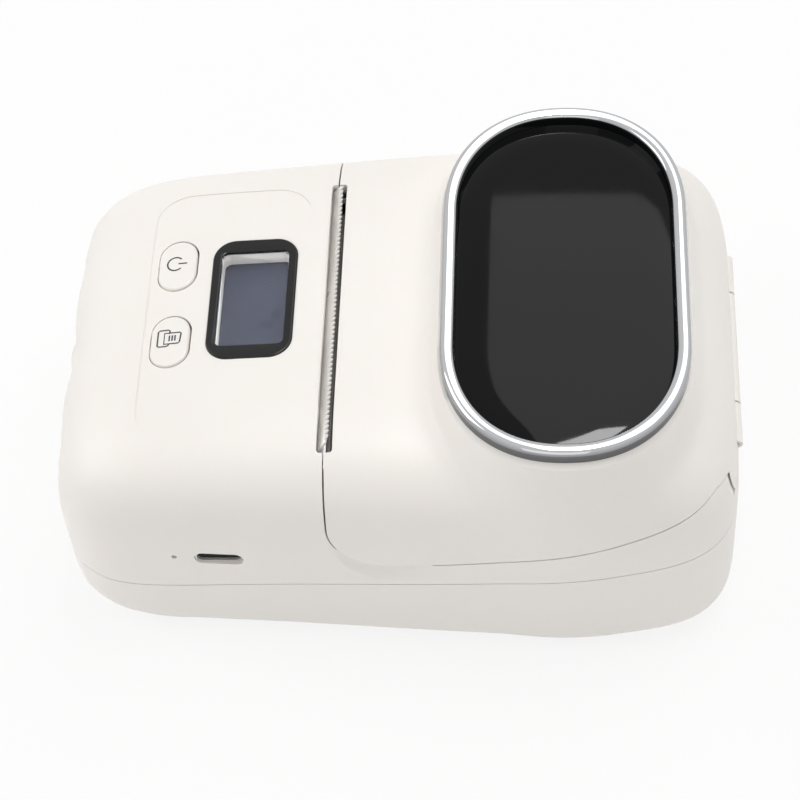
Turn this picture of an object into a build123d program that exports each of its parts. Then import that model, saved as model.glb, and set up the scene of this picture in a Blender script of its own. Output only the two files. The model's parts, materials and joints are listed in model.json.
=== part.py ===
from build123d import *
import math
import os

os.makedirs("parts", exist_ok=True)

# Body form: a soft slab with a raised oblong hump at the rear, both given by level formulas
BODY_LENGTH = 118.0
FRONT_HALF_WIDTH = 38.3
REAR_HALF_WIDTH = 41.7
WAIST_FRONT_Y = -40.0
WAIST_REAR_Y = 29.0
PLAN_POWER = 6.6
WIDEST_Z = 11.0
UPPER_POWER = 5.4
LOWER_POWER = 5.0
BELLY_DEPTH = 12.6
DECK_Z = 46.0
DECK_SLOPE = 3.57
DECK_CAP_Z = 46.4
DECK_CAP_SHARPNESS = 1.5
FOOT_HEIGHT = 1.0
BASE_Z = FOOT_HEIGHT
SEAT_Z = 51.0
HUMP_POWER = 6.0
HUMP_TOP_Z = 57.7
HUMP_BLEND = 27.0
LENS_CENTER_Y = 29.4
RING_HALF_LENGTH = 37.0
RING_HALF_WIDTH = 20.7
RING_STRAIGHT = 14.0
RING_END_POWER = 2.2
RING_LEDGE = 0.4
RING_BAND = 2.3
RING_HEIGHT = 2.7
RING_ROUNDING = 1.2
LENS_FIT = 0.05
LENS_THICKNESS = 1.9
LENS_DOME_RADIUS = 520.0
WALL = 2.0

# Seams between the shells
PARTING_Z = 19.2
PARTING_SLOPE = 6.1
PARTING_GAP = 0.2
SEAM_Y = -10.4
SEAM_GAP = 0.3
SEAM_DROP_Z = 34.0
SEAM_CORNER_RADIUS = 8.8
SEAM_RISE = 6.0
SEAM_CREST = (52.5, 36.9)
SEAM_SHOULDER_RADIUS = 3.5
SEAM_SHOULDER_TURN = 70.0
SEAM_FOOT_Y = 57.6
LIP_THICKNESS = 1.0
LIP_HEIGHT = 1.6
LIP_CLEARANCE = 0.1
SCOOP_CENTER = (-2.6, 30.0)
SCOOP_RADIUS = 9.0
SCOOP_DEPTH = 1.3
SCOOP_TAPER = 3.4

# Rear hinge
HINGE_Y = 58.2
HINGE_Z = 31.0
HINGE_PIN_RADIUS = 0.5
HINGE_BARREL_RADIUS = 1.1
HINGE_CHANNEL_CLEARANCE = 0.35
HINGE_FIT = 0.05
HINGE_HALF_SPAN = 20.0
COVER_KNUCKLE_HALF = 11.6
KNUCKLE_GAP = 0.35
KNUCKLE_WEB_DEPTH = 3.4

# Paper slot and tear bar
SLOT_X = 1.5
SLOT_LENGTH = 57.0
SLOT_FRONT = 1.35
SLOT_REAR = 1.35
SLOT_CORNER = 0.6
SLOT_GROOVE_RADIUS = 5.0
SLOT_GROOVE_DEPTH = 0.75
BLADE_LEAN = 38.0
BLADE_THICKNESS = 0.5
BLADE_TEETH = 58
BLADE_TOOTH_DEPTH = 0.6
BLADE_RISE = 2.8
BLADE_FOOT = 3.0
BLADE_LENGTH = 56.4
BLADE_Y = -11.9
BLADE_BEND_Z = 42.5
BLADE_RELIEF = 0.9

# Display
WINDOW_X = -1.86
WINDOW_Y = -24.44
WINDOW_LENGTH = 20.2
WINDOW_WIDTH = 11.9
BEZEL_LENGTH = 25.7
BEZEL_WIDTH = 15.0
BEZEL_CORNER = 4.0
BEZEL_THICKNESS = 1.0
BEZEL_PROUD = -0.1
BEZEL_FIT = 0.05
PANE_THICKNESS = 0.8
WELL_DEPTH = 3.6
WELL_WALL = 1.3
WINDOW_CORNER = 1.2
LCD_MARGIN = 2.4
LCD_THICKNESS = 2.2
LCD_CORNER = 0.5
BEZEL_EASE = 0.35

# Buttons on a shallow panel
PANEL_LENGTH = 53.0
PANEL_WIDTH = 28.2
PANEL_CORNER = 6.5
PANEL_Y = -29.1
PANEL_DEPTH = 0.2
BUTTON_Y = -38.2
BUTTON_SPACING = 16.5
BUTTON_LENGTH = 10.7
BUTTON_WIDTH = 6.8
BUTTON_GAP = 0.25
BUTTON_PROUD = 0.3
BUTTON_TRAVEL = 0.5
BUTTON_FLANGE = 0.8
BUTTON_FLANGE_THICKNESS = 0.8
BUTTON_FLANGE_DEPTH = 3.7
BUTTON_STEM_RADIUS = 1.4
STEM_TIP_DEPTH = 5.6
PLUNGER_RADIUS = 1.0
PLUNGER_LENGTH = 1.5
PLUNGER_FIT = 0.08
SWITCH_SIZE = 4.6
SWITCH_TOP_DEPTH = 6.3
SWITCH_HEIGHT = 2.0
SWITCH_CORNER = 0.4
KEY_BOARD_LENGTH = 27.0
KEY_BOARD_WIDTH = 11.0
KEY_BOARD_THICKNESS = 1.2
KEY_BOARD_CORNER = 1.0
KEY_BOSS_RADIUS = 1.6
KEY_BOSS_SPACING = 7.0

# Main board, battery and sockets
BOARD_CENTER = (2.5, -29.3)
BOARD_SIZE = (64.0, 29.6)
BOARD_THICKNESS = 1.6
BOARD_CORNER = 2.0
BOARD_Z = 21.6
POST_RADIUS = 2.2
SCREW_RADIUS = 0.9
SCREW_CLEARANCE = 0.05
SCREW_HEAD_RADIUS = 1.7
SCREW_HEAD_HEIGHT = 1.2
SCREW_BITE = 4.0
BOARD_POST_INSET = 3.4
BATTERY_SIZE = (46.0, 32.0, 9.0)
USB_Y = -29.6
USB_SIZE = (5.4, 7.5, 2.6)
USB_SHELL = 0.35
USB_CORNER = 0.9
USB_BACK = 1.0
USB_TONGUE = (4.5, 0.6)
USB_RECESS = 1.7
USB_HOLE = (8.5, 3.0)
RESET_Y = -37.3
RESET_HOLE_RADIUS = 0.5
RESET_SIZE = (3.4, 3.2, 2.0)
RESET_SETBACK = 2.0
RESET_PIN = (0.6, 0.8)
BATTERY_ROUNDING = 2.5
LEAD_Y = -22.0
LEAD_Z = 8.0
LEAD_OUT = 2.2
LEAD_RADIUS = 0.7
LEAD_PLUG = 2.4
FLEX_X = -6.0
FLEX_WIDTH = 7.0
FLEX_Y = -31.5
FLEX_FOOT_Y = -33.5
FLEX_BEND_Z = 30.0
FLEX_THICKNESS = 0.3
FLEX_PLUG = (9.0, 2.6, 1.2)
SENSOR_X = 1.0
SENSOR_SIZE = (14.0, 6.0, 2.5)
SENSOR_EYE_RADIUS = 1.0
SENSOR_EYE_DEPTH = 0.8
SENSOR_SETBACK = 0.5
SENSOR_CORNER = 0.6
# Chips on the board: place from its centre, then length, width and height
CHIPS = ((2.0, -4.0, 9.0, 9.0, 1.0), (-8.0, 3.0, 5.0, 6.0, 1.2), (14.0, 2.0, 6.0, 5.0, 1.6),
         (-18.0, -8.0, 8.0, 3.5, 1.4), (4.0, 10.0, 20.0, 2.6, 1.3), (18.0, -9.0, 4.0, 4.0, 1.0))

# Platen, gears and motor
PLATEN_Y = -5.0
PLATEN_Z = 33.5
PLATEN_RADIUS = 4.5
PLATEN_LENGTH = 54.0
PLATEN_SHAFT_RADIUS = 1.5
SHAFT_FIT = 0.05
BUSHING_RADIUS = 2.6
BUSHING_LENGTH = 4.0
BUSHING_OFFSET = 29.1
BUSHING_FIT = 0.05
NOTCH_CLEARANCE = 0.3
GEAR_MODULE = 0.5
GEAR_WIDTH = 2.4
GEAR_PLANE_X = -35.0
GEAR_BACKLASH = 0.16
PLATEN_TEETH = 16
FIRST_IDLER_TEETH = 24
SECOND_IDLER_TEETH = 32
PINION_TEETH = 12
FIRST_IDLER_ANGLE = -90.0
SECOND_IDLER_ANGLE = 168.0
PINION_ANGLE = 153.0
AXLE_RADIUS = 1.0
AXLE_HEAD_RADIUS = 1.8
MOTOR_RADIUS = 7.5
MOTOR_LENGTH = 13.0
MOTOR_SHAFT_RADIUS = 0.75
MOTOR_BOSS_RADIUS = 2.5
MOTOR_ROUNDING = 1.2
MOTOR_BORE_DEPTH = 5.0
AXLE_END_GAP = 0.3
AXLE_HEAD_THICKNESS = 0.5
SHAFT_PROUD = 0.6
ARM_INSET = 0.2
ARM_THICKNESS = 1.8
ARM_HALF_WIDTH = 3.4

# Print head and its frame
FRAME_THICKNESS = 1.2
FRAME_PLATE_OFFSET = 32.3
FRAME_BACK_Y = -20.0
FRAME_TOP_Z = 36.0
FRAME_FLOOR_Z = 23.4
FRAME_FLOOR_FRONT_Y = -14.0
FRAME_FLOOR_REAR_Y = -6.0
FRAME_SHELF_Z = 25.0
FRAME_LOW_Z = 19.5
FRAME_MARGIN = 0.6
FRAME_POST_OFFSET = 24.0
FRAME_POST_Y = -9.5
HEAD_PIN_GAP = 0.5
CERAMIC_THICKNESS = 1.0
CERAMIC_LENGTH = 54.0
CERAMIC_BOTTOM_Z = 29.0
CERAMIC_TOP_Z = 38.5
HEATSINK_THICKNESS = 3.0
HEATSINK_LENGTH = 56.0
HEAD_PIVOT_Z = 27.2
HEAD_PIVOT_RADIUS = 1.0
HEAD_EAR_RADIUS = 2.0
HEAD_EAR_THICKNESS = 1.6
HEAD_PIVOT_SETBACK = 2.8
SINK_GROOVES = 3
SINK_GROOVE_Z = 29.4
SINK_GROOVE_PITCH = 1.6
SINK_GROOVE_WIDTH = 0.8
SINK_GROOVE_DEPTH = 1.0
SPIGOT_RADIUS = 1.2
SPIGOT_LENGTH = 1.8
SPRING_RADIUS = 1.8
SPRING_WIRE = 0.3
SPRING_TURNS = 4.0
SPRING_OFFSETS = (-14.0, 14.0)
SPRING_Z = 34.0
SPRING_CLEARANCE = 0.45

# Inner frame of the cover
COVER_FRAME_Z = 39.4
COVER_FRAME_THICKNESS = 1.6
COVER_FRAME_HALF = 28.0
COVER_FRAME_FRONT_Y = -8.8
COVER_FRAME_REAR_Y = 6.0
COVER_BOSS_SPACING = 44.0
COVER_BOSS_Y = 3.0
COVER_SCREW_BITE = 3.0

# Label roll tray and its centring guides
CRADLE_RADIUS = 21.0
CRADLE_Y = 29.5
CRADLE_Z = 27.6
TRAY_WALL = 1.6
TRAY_HALF_LENGTH = 29.5
TRAY_RIM_Z = 24.0
TRAY_FLANGE = 4.6
TRAY_FLANGE_THICKNESS = 1.2
TRAY_FLANGE_END = 3.5
TRAY_FRONT_Y = 1.5
TRAY_POST_Y = (24.0, 41.0)
GUIDE_THICKNESS = 2.0
GUIDE_INNER_HALF = 25.2
GUIDE_CLEARANCE = 0.6
GUIDE_TOP_Z = 36.0
GUIDE_HUB_RADIUS = 6.0
GUIDE_HUB_LENGTH = 3.0
GUIDE_TRAVEL = 15.0
GUIDE_OUTWARD = 1.5
RACK_MODULE = 0.6
RACK_BACK = 2.0
TOOTH_TIP = 0.85
TOOTH_ROOT = 1.15
RACK_OVERLAP = 5.0
NECK_TOP_Z = 22.0
RACK_Z = 3.8
RACK_HEIGHT = 2.2
GUIDE_PINION_TEETH = 14
GUIDE_PINION_Y = 13.5
LEFT_NECK = (10.2, 13.0)
RIGHT_NECK_WIDTH = 2.4
NECK_CLEARANCE = 0.4
GUIDE_SEAT_HEIGHT = 0.5
GUIDE_AXLE_CLEARANCE = 0.3

# Feet and fasteners
FOOT_RADIUS = 5.0
FOOT_RECESS = 0.6
FOOT_PLACES = ((-26.0, -42.0), (26.0, -42.0), (-28.0, 42.0), (28.0, 42.0))
FRONT_BOSS = (29.4, -48.0)
REAR_BOSS = (35.8, 14.0)
BOSS_RADIUS = 2.7
BOSS_WEB_LENGTH = 4.0
BOSS_WEB_WIDTH = 1.6
CASE_SCREW_HEAD_RADIUS = 1.8
CASE_SCREW_HEAD_HEIGHT = 1.4
CASE_SCREW_RADIUS = 1.1
CASE_SCREW_BITE = 5.0
CASE_SCREW_PIT = 6.0
CASE_SCREW_TIP_Z = 24.0
CASE_SCREW_END_GAP = 0.5
SCREW_DRIVE_WIDTH = 0.5
FOOT_EASE = 0.3

SKIN_COLUMNS = 72
SKIN_ROWS = 30
SKIN_CENTER_Z = 20.0
SKIN_TOLERANCE = 0.02
SEARCH_STEPS = 28
SEARCH_REACH = 160.0
EDGE_TOLERANCE = 0.01
BIG = 200.0


def ease(share):
    share = min(max(share, 0.0), 1.0)
    return share * share * (3 - 2 * share)


def half_width(y):
    share = (y - WAIST_FRONT_Y) / (WAIST_REAR_Y - WAIST_FRONT_Y)
    return FRONT_HALF_WIDTH + (REAR_HALF_WIDTH - FRONT_HALF_WIDTH) * ease(share)


def deck_height(y):
    # The deck climbs to the rear and levels off softly behind the slot
    rise = DECK_Z + (y - SEAM_Y) * math.tan(math.radians(DECK_SLOPE))
    over = math.exp((DECK_CAP_Z - rise) * DECK_CAP_SHARPNESS)
    return DECK_CAP_Z - math.log1p(over) / DECK_CAP_SHARPNESS


def slab_level(x, y, z, inset):
    plan = (abs(x / (half_width(y) - inset)) ** PLAN_POWER
            + abs(y / (BODY_LENGTH / 2 - inset)) ** PLAN_POWER) ** (1 / PLAN_POWER)
    above = z > WIDEST_Z
    power = UPPER_POWER if above else LOWER_POWER
    depth = (deck_height(y) - WIDEST_Z if above else BELLY_DEPTH) - inset
    return (plan ** power + abs((z - WIDEST_Z) / depth) ** power) ** (1 / power)


def oblong_level(x, y, half_length, half_breadth):
    past = max(abs(x) - RING_STRAIGHT, 0.0) / (half_length - RING_STRAIGHT)
    return (past ** RING_END_POWER
            + abs(y / half_breadth) ** RING_END_POWER) ** (1 / RING_END_POWER)


def hump_level(x, y, z, inset):
    above = z > WIDEST_Z
    depth = (HUMP_TOP_Z - WIDEST_Z if above else BELLY_DEPTH) - inset
    # The hump is sized so that its outline at the seat is the ring's, plus a small ledge
    at_seat = (1 - ((SEAT_Z - WIDEST_Z) / (HUMP_TOP_Z - WIDEST_Z)) ** HUMP_POWER) ** (1 / HUMP_POWER)
    length = (RING_HALF_LENGTH + RING_LEDGE) / at_seat - inset
    breadth = (RING_HALF_WIDTH + RING_LEDGE) / at_seat - inset
    plan = oblong_level(x, y - LENS_CENTER_Y, length, breadth)
    return (plan ** HUMP_POWER + abs((z - WIDEST_Z) / depth) ** HUMP_POWER) ** (1 / HUMP_POWER)


def form_level(x, y, z, inset):
    slab = slab_level(x, y, z, inset)
    hump = hump_level(x, y, z, inset)
    low = min(slab, hump)
    blend = math.exp(-HUMP_BLEND * (slab - low)) + math.exp(-HUMP_BLEND * (hump - low))
    return low - math.log(blend) / HUMP_BLEND


def reach(azimuth, outward, upward, inset, start_z):
    near, far = 0.0, SEARCH_REACH
    for _ in range(SEARCH_STEPS):
        middle = (near + far) / 2
        x = outward * middle * math.sin(azimuth)
        y = LENS_CENTER_Y - outward * middle * math.cos(azimuth)
        if form_level(x, y, start_z + upward * middle, inset) < 1:
            near = middle
        else:
            far = middle
    return near


def meridian(azimuth, inset, low, high):
    low_reach = reach(azimuth, 1, 0, inset, low)
    high_reach = reach(azimuth, 1, 0, inset, high)
    first = math.atan2(low - SKIN_CENTER_Z, low_reach)
    last = math.atan2(high - SKIN_CENTER_Z, high_reach)
    places = [(low_reach, low)]
    for row in range(1, SKIN_ROWS):
        angle = first + (last - first) * row / SKIN_ROWS
        ray = reach(azimuth, math.cos(angle), math.sin(angle), inset, SKIN_CENTER_Z)
        places.append((ray * math.cos(angle), SKIN_CENTER_Z + ray * math.sin(angle)))
    places.append((high_reach, high))
    return [Vector(out * math.sin(azimuth), LENS_CENTER_Y - out * math.cos(azimuth), z)
            for out, z in places]


def form_solid(inset, low, high):
    """The body form, drawn in by an inset and cut level at a low and a high height."""
    columns = [meridian(2 * math.pi * step / SKIN_COLUMNS, inset, low, high)
               for step in range(SKIN_COLUMNS)]
    columns.append(list(columns[0]))
    side = Face.make_surface_from_array_of_points(columns, tol=SKIN_TOLERANCE, min_deg=3, max_deg=3)
    rings = side.edges()
    bottom = Face(Wire([e for e in rings if e.bounding_box().max.Z < low + EDGE_TOLERANCE]))
    top = Face(Wire([e for e in rings if e.bounding_box().min.Z > high - EDGE_TOLERANCE]))
    return Solid(Shell([side, bottom, top]))


def oblong_points(half_length, half_breadth, count=64):
    """Points of the ring's outline: straight sides and full, slightly squared ends."""
    points = []
    for step in range(count):
        angle = 2 * math.pi * step / count
        c, s = math.cos(angle), math.sin(angle)
        near, far = 0.0, half_length * 2
        for _ in range(SEARCH_STEPS):
            middle = (near + far) / 2
            inside = oblong_level(c * middle, s * middle, half_length, half_breadth) < 1
            near, far = (middle, far) if inside else (near, middle)
        points.append((c * near, LENS_CENTER_Y + s * near))
    return points


def gear_points(center, teeth, module, phase):
    """Outline of a spur gear of 20 degree involute teeth with backlash, one tooth at phase."""
    pitch = module * teeth / 2
    base = pitch * math.cos(math.radians(20))
    root, tip = pitch - TOOTH_ROOT * module, pitch + TOOTH_TIP * module
    radii = [root] + [r for r in (base, (base + pitch) / 2, pitch, (pitch + tip) / 2, tip) if r > root]
    half_pitch = math.pi / (2 * teeth) - GEAR_BACKLASH / (4 * pitch)

    def half_angle(radius):
        pressure = math.acos(min(base / radius, 1.0))
        roll = math.tan(pressure) - pressure
        return half_pitch + math.tan(math.radians(20)) - math.radians(20) - roll

    points = []
    for tooth in range(teeth):
        middle = math.radians(phase + 360 * tooth / teeth)
        flank = [(r, half_angle(r)) for r in radii]
        rise = [(r, middle - a) for r, a in flank]
        fall = [(r, middle + a) for r, a in reversed(flank)]
        points += [(center[0] + r * math.cos(a), center[1] + r * math.sin(a)) for r, a in rise + fall]
    return points


def meshed_phase(direction, phase, teeth, mate_teeth):
    """Phase of a mate that lies in a direction, so that its gap meets this gear's tooth."""
    ahead = (phase - direction) % (360 / teeth)
    return direction + 180 - ahead * teeth / mate_teeth + 180 / mate_teeth


def stepped(center, direction, distance):
    angle = math.radians(direction)
    return (center[0] + distance * math.cos(angle), center[1] + distance * math.sin(angle))


outer_form = form_solid(0.0, BASE_Z, SEAT_Z)
inner_form = form_solid(WALL, BASE_Z + WALL, SEAT_Z - WALL)
panel_form = form_solid(PANEL_DEPTH, BASE_Z + PANEL_DEPTH, SEAT_Z - PANEL_DEPTH)
button_form = form_solid(PANEL_DEPTH - BUTTON_PROUD, BASE_Z, SEAT_Z)
boss_form = form_solid(WALL / 2, BASE_Z + WALL / 2, SEAT_Z - WALL / 2)
lip_outer = form_solid(WALL + LIP_CLEARANCE, BASE_Z + WALL, SEAT_Z - 2 * WALL)
lip_inner = form_solid(WALL + LIP_CLEARANCE + LIP_THICKNESS, BASE_Z + WALL, SEAT_Z - 2 * WALL)

slope = math.radians(DECK_SLOPE)
deck_plane = Plane(origin=(0, SEAM_Y, DECK_Z), x_dir=(1, 0, 0),
                   z_dir=(0, -math.sin(slope), math.cos(slope)))
deck_up = Axis((0, 0, 0), tuple(deck_plane.z_dir))
tilt = math.radians(PARTING_SLOPE)
parting_plane = Plane(origin=(0, 0, PARTING_Z), x_dir=(1, 0, 0), z_dir=(0, -math.sin(tilt), math.cos(tilt)))


def on_deck(x, y):
    return (x, (y - SEAM_Y) / math.cos(slope))


window_place = on_deck(WINDOW_X, WINDOW_Y)
button_places = [on_deck(WINDOW_X + side * BUTTON_SPACING / 2, BUTTON_Y) for side in (-1, 1)]
key_center = on_deck(WINDOW_X, BUTTON_Y)
key_boss_places = [on_deck(WINDOW_X, BUTTON_Y + side * KEY_BOSS_SPACING / 2) for side in (-1, 1)]
key_board_depth = SWITCH_TOP_DEPTH + SWITCH_HEIGHT
flange_depth = BUTTON_FLANGE_DEPTH + BUTTON_FLANGE_THICKNESS


def seam_zone(gap):
    """All of the space behind the slot seam and above the side seam, grown by a gap."""
    with BuildPart() as zone:
        with BuildSketch(Plane.YZ.offset(-BIG / 2)):
            with BuildLine():
                drop = Line((SEAM_Y - gap, BIG / 2), (SEAM_Y - gap, SEAM_DROP_Z))
                corner = JernArc(start=drop @ 1, tangent=(0, -1), radius=SEAM_CORNER_RADIUS + gap,
                                 arc_size=90 + SEAM_RISE)
                side = TangentArc(corner @ 1, (SEAM_CREST[0], SEAM_CREST[1] - gap), tangent=corner % 1)
                # Behind its crest the seam turns down to the level of the hinge
                shoulder = JernArc(start=side @ 1, tangent=side % 1, radius=SEAM_SHOULDER_RADIUS - gap,
                                   arc_size=-SEAM_SHOULDER_TURN)
                Polyline(shoulder @ 1, (SEAM_FOOT_Y - gap, HINGE_Z - gap), (BIG / 2, HINGE_Z - gap),
                         (BIG / 2, BIG / 2), drop @ 0)
            make_face()
        extrude(amount=BIG)
    return zone.part


cover_zone = seam_zone(0.0)
case_zone = seam_zone(SEAM_GAP)

# The groove and the slot are cut through both shells, half in each
groove_plane = Plane.YZ.offset(SLOT_X - SLOT_LENGTH / 2)
groove_z = DECK_Z + SLOT_GROOVE_RADIUS - SLOT_GROOVE_DEPTH
with BuildPart() as slot_tool:
    with BuildSketch(Plane.XY.offset(DECK_Z - 3 * WALL)):
        with Locations((SLOT_X, SEAM_Y + (SLOT_REAR - SLOT_FRONT) / 2)):
            RectangleRounded(SLOT_LENGTH, SLOT_FRONT + SLOT_REAR, SLOT_CORNER)
    extrude(amount=5 * WALL)
    with BuildSketch(groove_plane):
        with Locations((SEAM_Y, groove_z)):
            Circle(SLOT_GROOVE_RADIUS)
    extrude(amount=SLOT_LENGTH)
    for end in (-1, 1):
        with Locations((SLOT_X + end * SLOT_LENGTH / 2, SEAM_Y, groove_z)):
            Sphere(SLOT_GROOVE_RADIUS)

with BuildPart() as panel_tool:
    with BuildSketch(deck_plane.offset(-3 * WALL)):
        with Locations(on_deck(0, PANEL_Y)):
            RectangleRounded(PANEL_LENGTH, PANEL_WIDTH, PANEL_CORNER)
    extrude(amount=5 * WALL)
    add(panel_form, mode=Mode.SUBTRACT)


def hinge_cylinder(radius, start, end):
    """A round bar on the hinge axis between two places along X."""
    bar = Solid.make_cylinder(radius, end - start, Plane(origin=(start, HINGE_Y, HINGE_Z), z_dir=(1, 0, 0)))
    return bar


def prism_x(outline, start, end):
    """A solid of constant section along X, from its outline in Y and Z."""
    section = Face(Wire.make_polygon([(start, y, z) for y, z in outline]))
    return Solid.extrude(section, Vector(end - start, 0, 0))


def block(low, high):
    """A box between two opposite corners."""
    return Solid.make_box(*(b - a for a, b in zip(low, high)), Plane(origin=low))


def rod_x(radius, start, end, y, z):
    """A round bar along X."""
    return Solid.make_cylinder(radius, end - start, Plane(origin=(start, y, z), z_dir=(1, 0, 0)))


# Lower case: tray with lip, posts, screw pits and foot recesses
board_posts = [(BOARD_CENTER[0] + sx * (BOARD_SIZE[0] / 2 - BOARD_POST_INSET),
                BOARD_CENTER[1] + sy * (BOARD_SIZE[1] / 2 - BOARD_POST_INSET))
               for sx in (-1, 1) for sy in (-1, 1)]
frame_posts = [(SLOT_X + side * FRAME_POST_OFFSET, FRAME_POST_Y) for side in (-1, 1)]
tray_posts = [(SLOT_X + side * (TRAY_HALF_LENGTH + TRAY_WALL + TRAY_FLANGE / 2), y)
              for side in (-1, 1) for y in TRAY_POST_Y]
case_screw_places = [(-FRONT_BOSS[0], FRONT_BOSS[1]), FRONT_BOSS, (-REAR_BOSS[0], REAR_BOSS[1]), REAR_BOSS]
post_sets = [(board_posts, BOARD_Z), (frame_posts, FRAME_FLOOR_Z),
             (tray_posts, TRAY_RIM_Z - TRAY_FLANGE_THICKNESS)]
floor_z = BASE_Z + WALL
usb_z = BOARD_Z + BOARD_THICKNESS + USB_SIZE[2] / 2
boss_bottom = BASE_Z + CASE_SCREW_PIT + WALL
channel_radius = HINGE_BARREL_RADIUS + HINGE_CHANNEL_CLEARANCE
cover_frame_top = COVER_FRAME_Z + COVER_FRAME_THICKNESS
cover_boss_places = [(SLOT_X + side * COVER_BOSS_SPACING / 2, COVER_BOSS_Y) for side in (-1, 1)]
pinion_center = (SLOT_X, GUIDE_PINION_Y)

with BuildPart() as lip:
    # Under the seam the lip is rooted in the wall; above it, it stands clear of the upper case
    add(boss_form)
    split(bisect_by=parting_plane.offset(-LIP_CLEARANCE), keep=Keep.BOTTOM)
    add(lip_outer)
    add(lip_inner, mode=Mode.SUBTRACT)
    # The bosses of the upper case and their webs pass through gaps in the lip
    with BuildSketch(Plane.XY.offset(floor_z)):
        with Locations(*case_screw_places):
            Circle(BOSS_RADIUS + NOTCH_CLEARANCE)
        for side in (-1, 1):
            with Locations((side * (REAR_BOSS[0] + BOSS_WEB_LENGTH / 2), REAR_BOSS[1])):
                Rectangle(BOSS_WEB_LENGTH, BOSS_WEB_WIDTH + 2 * NOTCH_CLEARANCE)
    extrude(amount=SEAT_Z, mode=Mode.SUBTRACT)
    split(bisect_by=parting_plane.offset(LIP_HEIGHT), keep=Keep.BOTTOM)
    split(bisect_by=parting_plane.offset(-LIP_HEIGHT), keep=Keep.TOP)

with BuildPart() as screw_pits:
    with BuildSketch(Plane.XY.offset(BASE_Z)):
        with Locations(*case_screw_places):
            Circle(BOSS_RADIUS)
    extrude(amount=CASE_SCREW_PIT + WALL)
    add(outer_form, mode=Mode.INTERSECT)

with BuildPart() as lower_case:
    add(outer_form)
    split(bisect_by=parting_plane, keep=Keep.BOTTOM)
    add(inner_form, mode=Mode.SUBTRACT)
    add(lip)
    add(screw_pits)
    for places, top in post_sets:
        with BuildSketch(Plane.XY.offset(floor_z)):
            with Locations(*places):
                Circle(POST_RADIUS)
        extrude(amount=top - floor_z)
        with BuildSketch(Plane.XY.offset(top - CASE_SCREW_BITE)):
            with Locations(*places):
                Circle(SCREW_RADIUS + SCREW_CLEARANCE)
        extrude(amount=CASE_SCREW_BITE, mode=Mode.SUBTRACT)
    with BuildSketch(Plane.XY.offset(BASE_Z)):
        with Locations(*case_screw_places):
            Circle(CASE_SCREW_HEAD_RADIUS + SCREW_CLEARANCE)
    extrude(amount=CASE_SCREW_PIT, mode=Mode.SUBTRACT)
    with BuildSketch(Plane.XY.offset(BASE_Z)):
        with Locations(*case_screw_places):
            Circle(CASE_SCREW_RADIUS + SCREW_CLEARANCE)
    extrude(amount=CASE_SCREW_PIT + 2 * WALL, mode=Mode.SUBTRACT)
    with BuildSketch(Plane.XY.offset(BASE_Z)):
        with Locations(*FOOT_PLACES):
            Circle(FOOT_RADIUS + SCREW_CLEARANCE)
    extrude(amount=FOOT_RECESS, mode=Mode.SUBTRACT)
    # Seat and blind hole of the guide pinion's axle
    add(Solid.make_cylinder(AXLE_HEAD_RADIUS, GUIDE_SEAT_HEIGHT, Plane(origin=(*pinion_center, floor_z))))
    add(Solid.make_cylinder(AXLE_RADIUS, WALL / 2 + GUIDE_SEAT_HEIGHT,
                            Plane(origin=(*pinion_center, floor_z - WALL / 2))), mode=Mode.SUBTRACT)
lower_case.part.label = "lower_case"
export_step(lower_case.part, "parts/lower_case.step")

# Screw bosses of the upper case, trimmed to the inside of the shell; webs tie the rear ones to it
with BuildPart() as case_bosses:
    with BuildSketch(Plane.XY.offset(boss_bottom)):
        with Locations(*case_screw_places):
            Circle(BOSS_RADIUS)
        for side in (-1, 1):
            with Locations((side * (REAR_BOSS[0] + BOSS_WEB_LENGTH / 2), REAR_BOSS[1])):
                Rectangle(BOSS_WEB_LENGTH, BOSS_WEB_WIDTH)
    extrude(amount=SEAT_Z)
    split(bisect_by=parting_plane.offset(PARTING_GAP), keep=Keep.TOP)
    add(case_zone, mode=Mode.SUBTRACT)
    add(boss_form, mode=Mode.INTERSECT)

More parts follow.
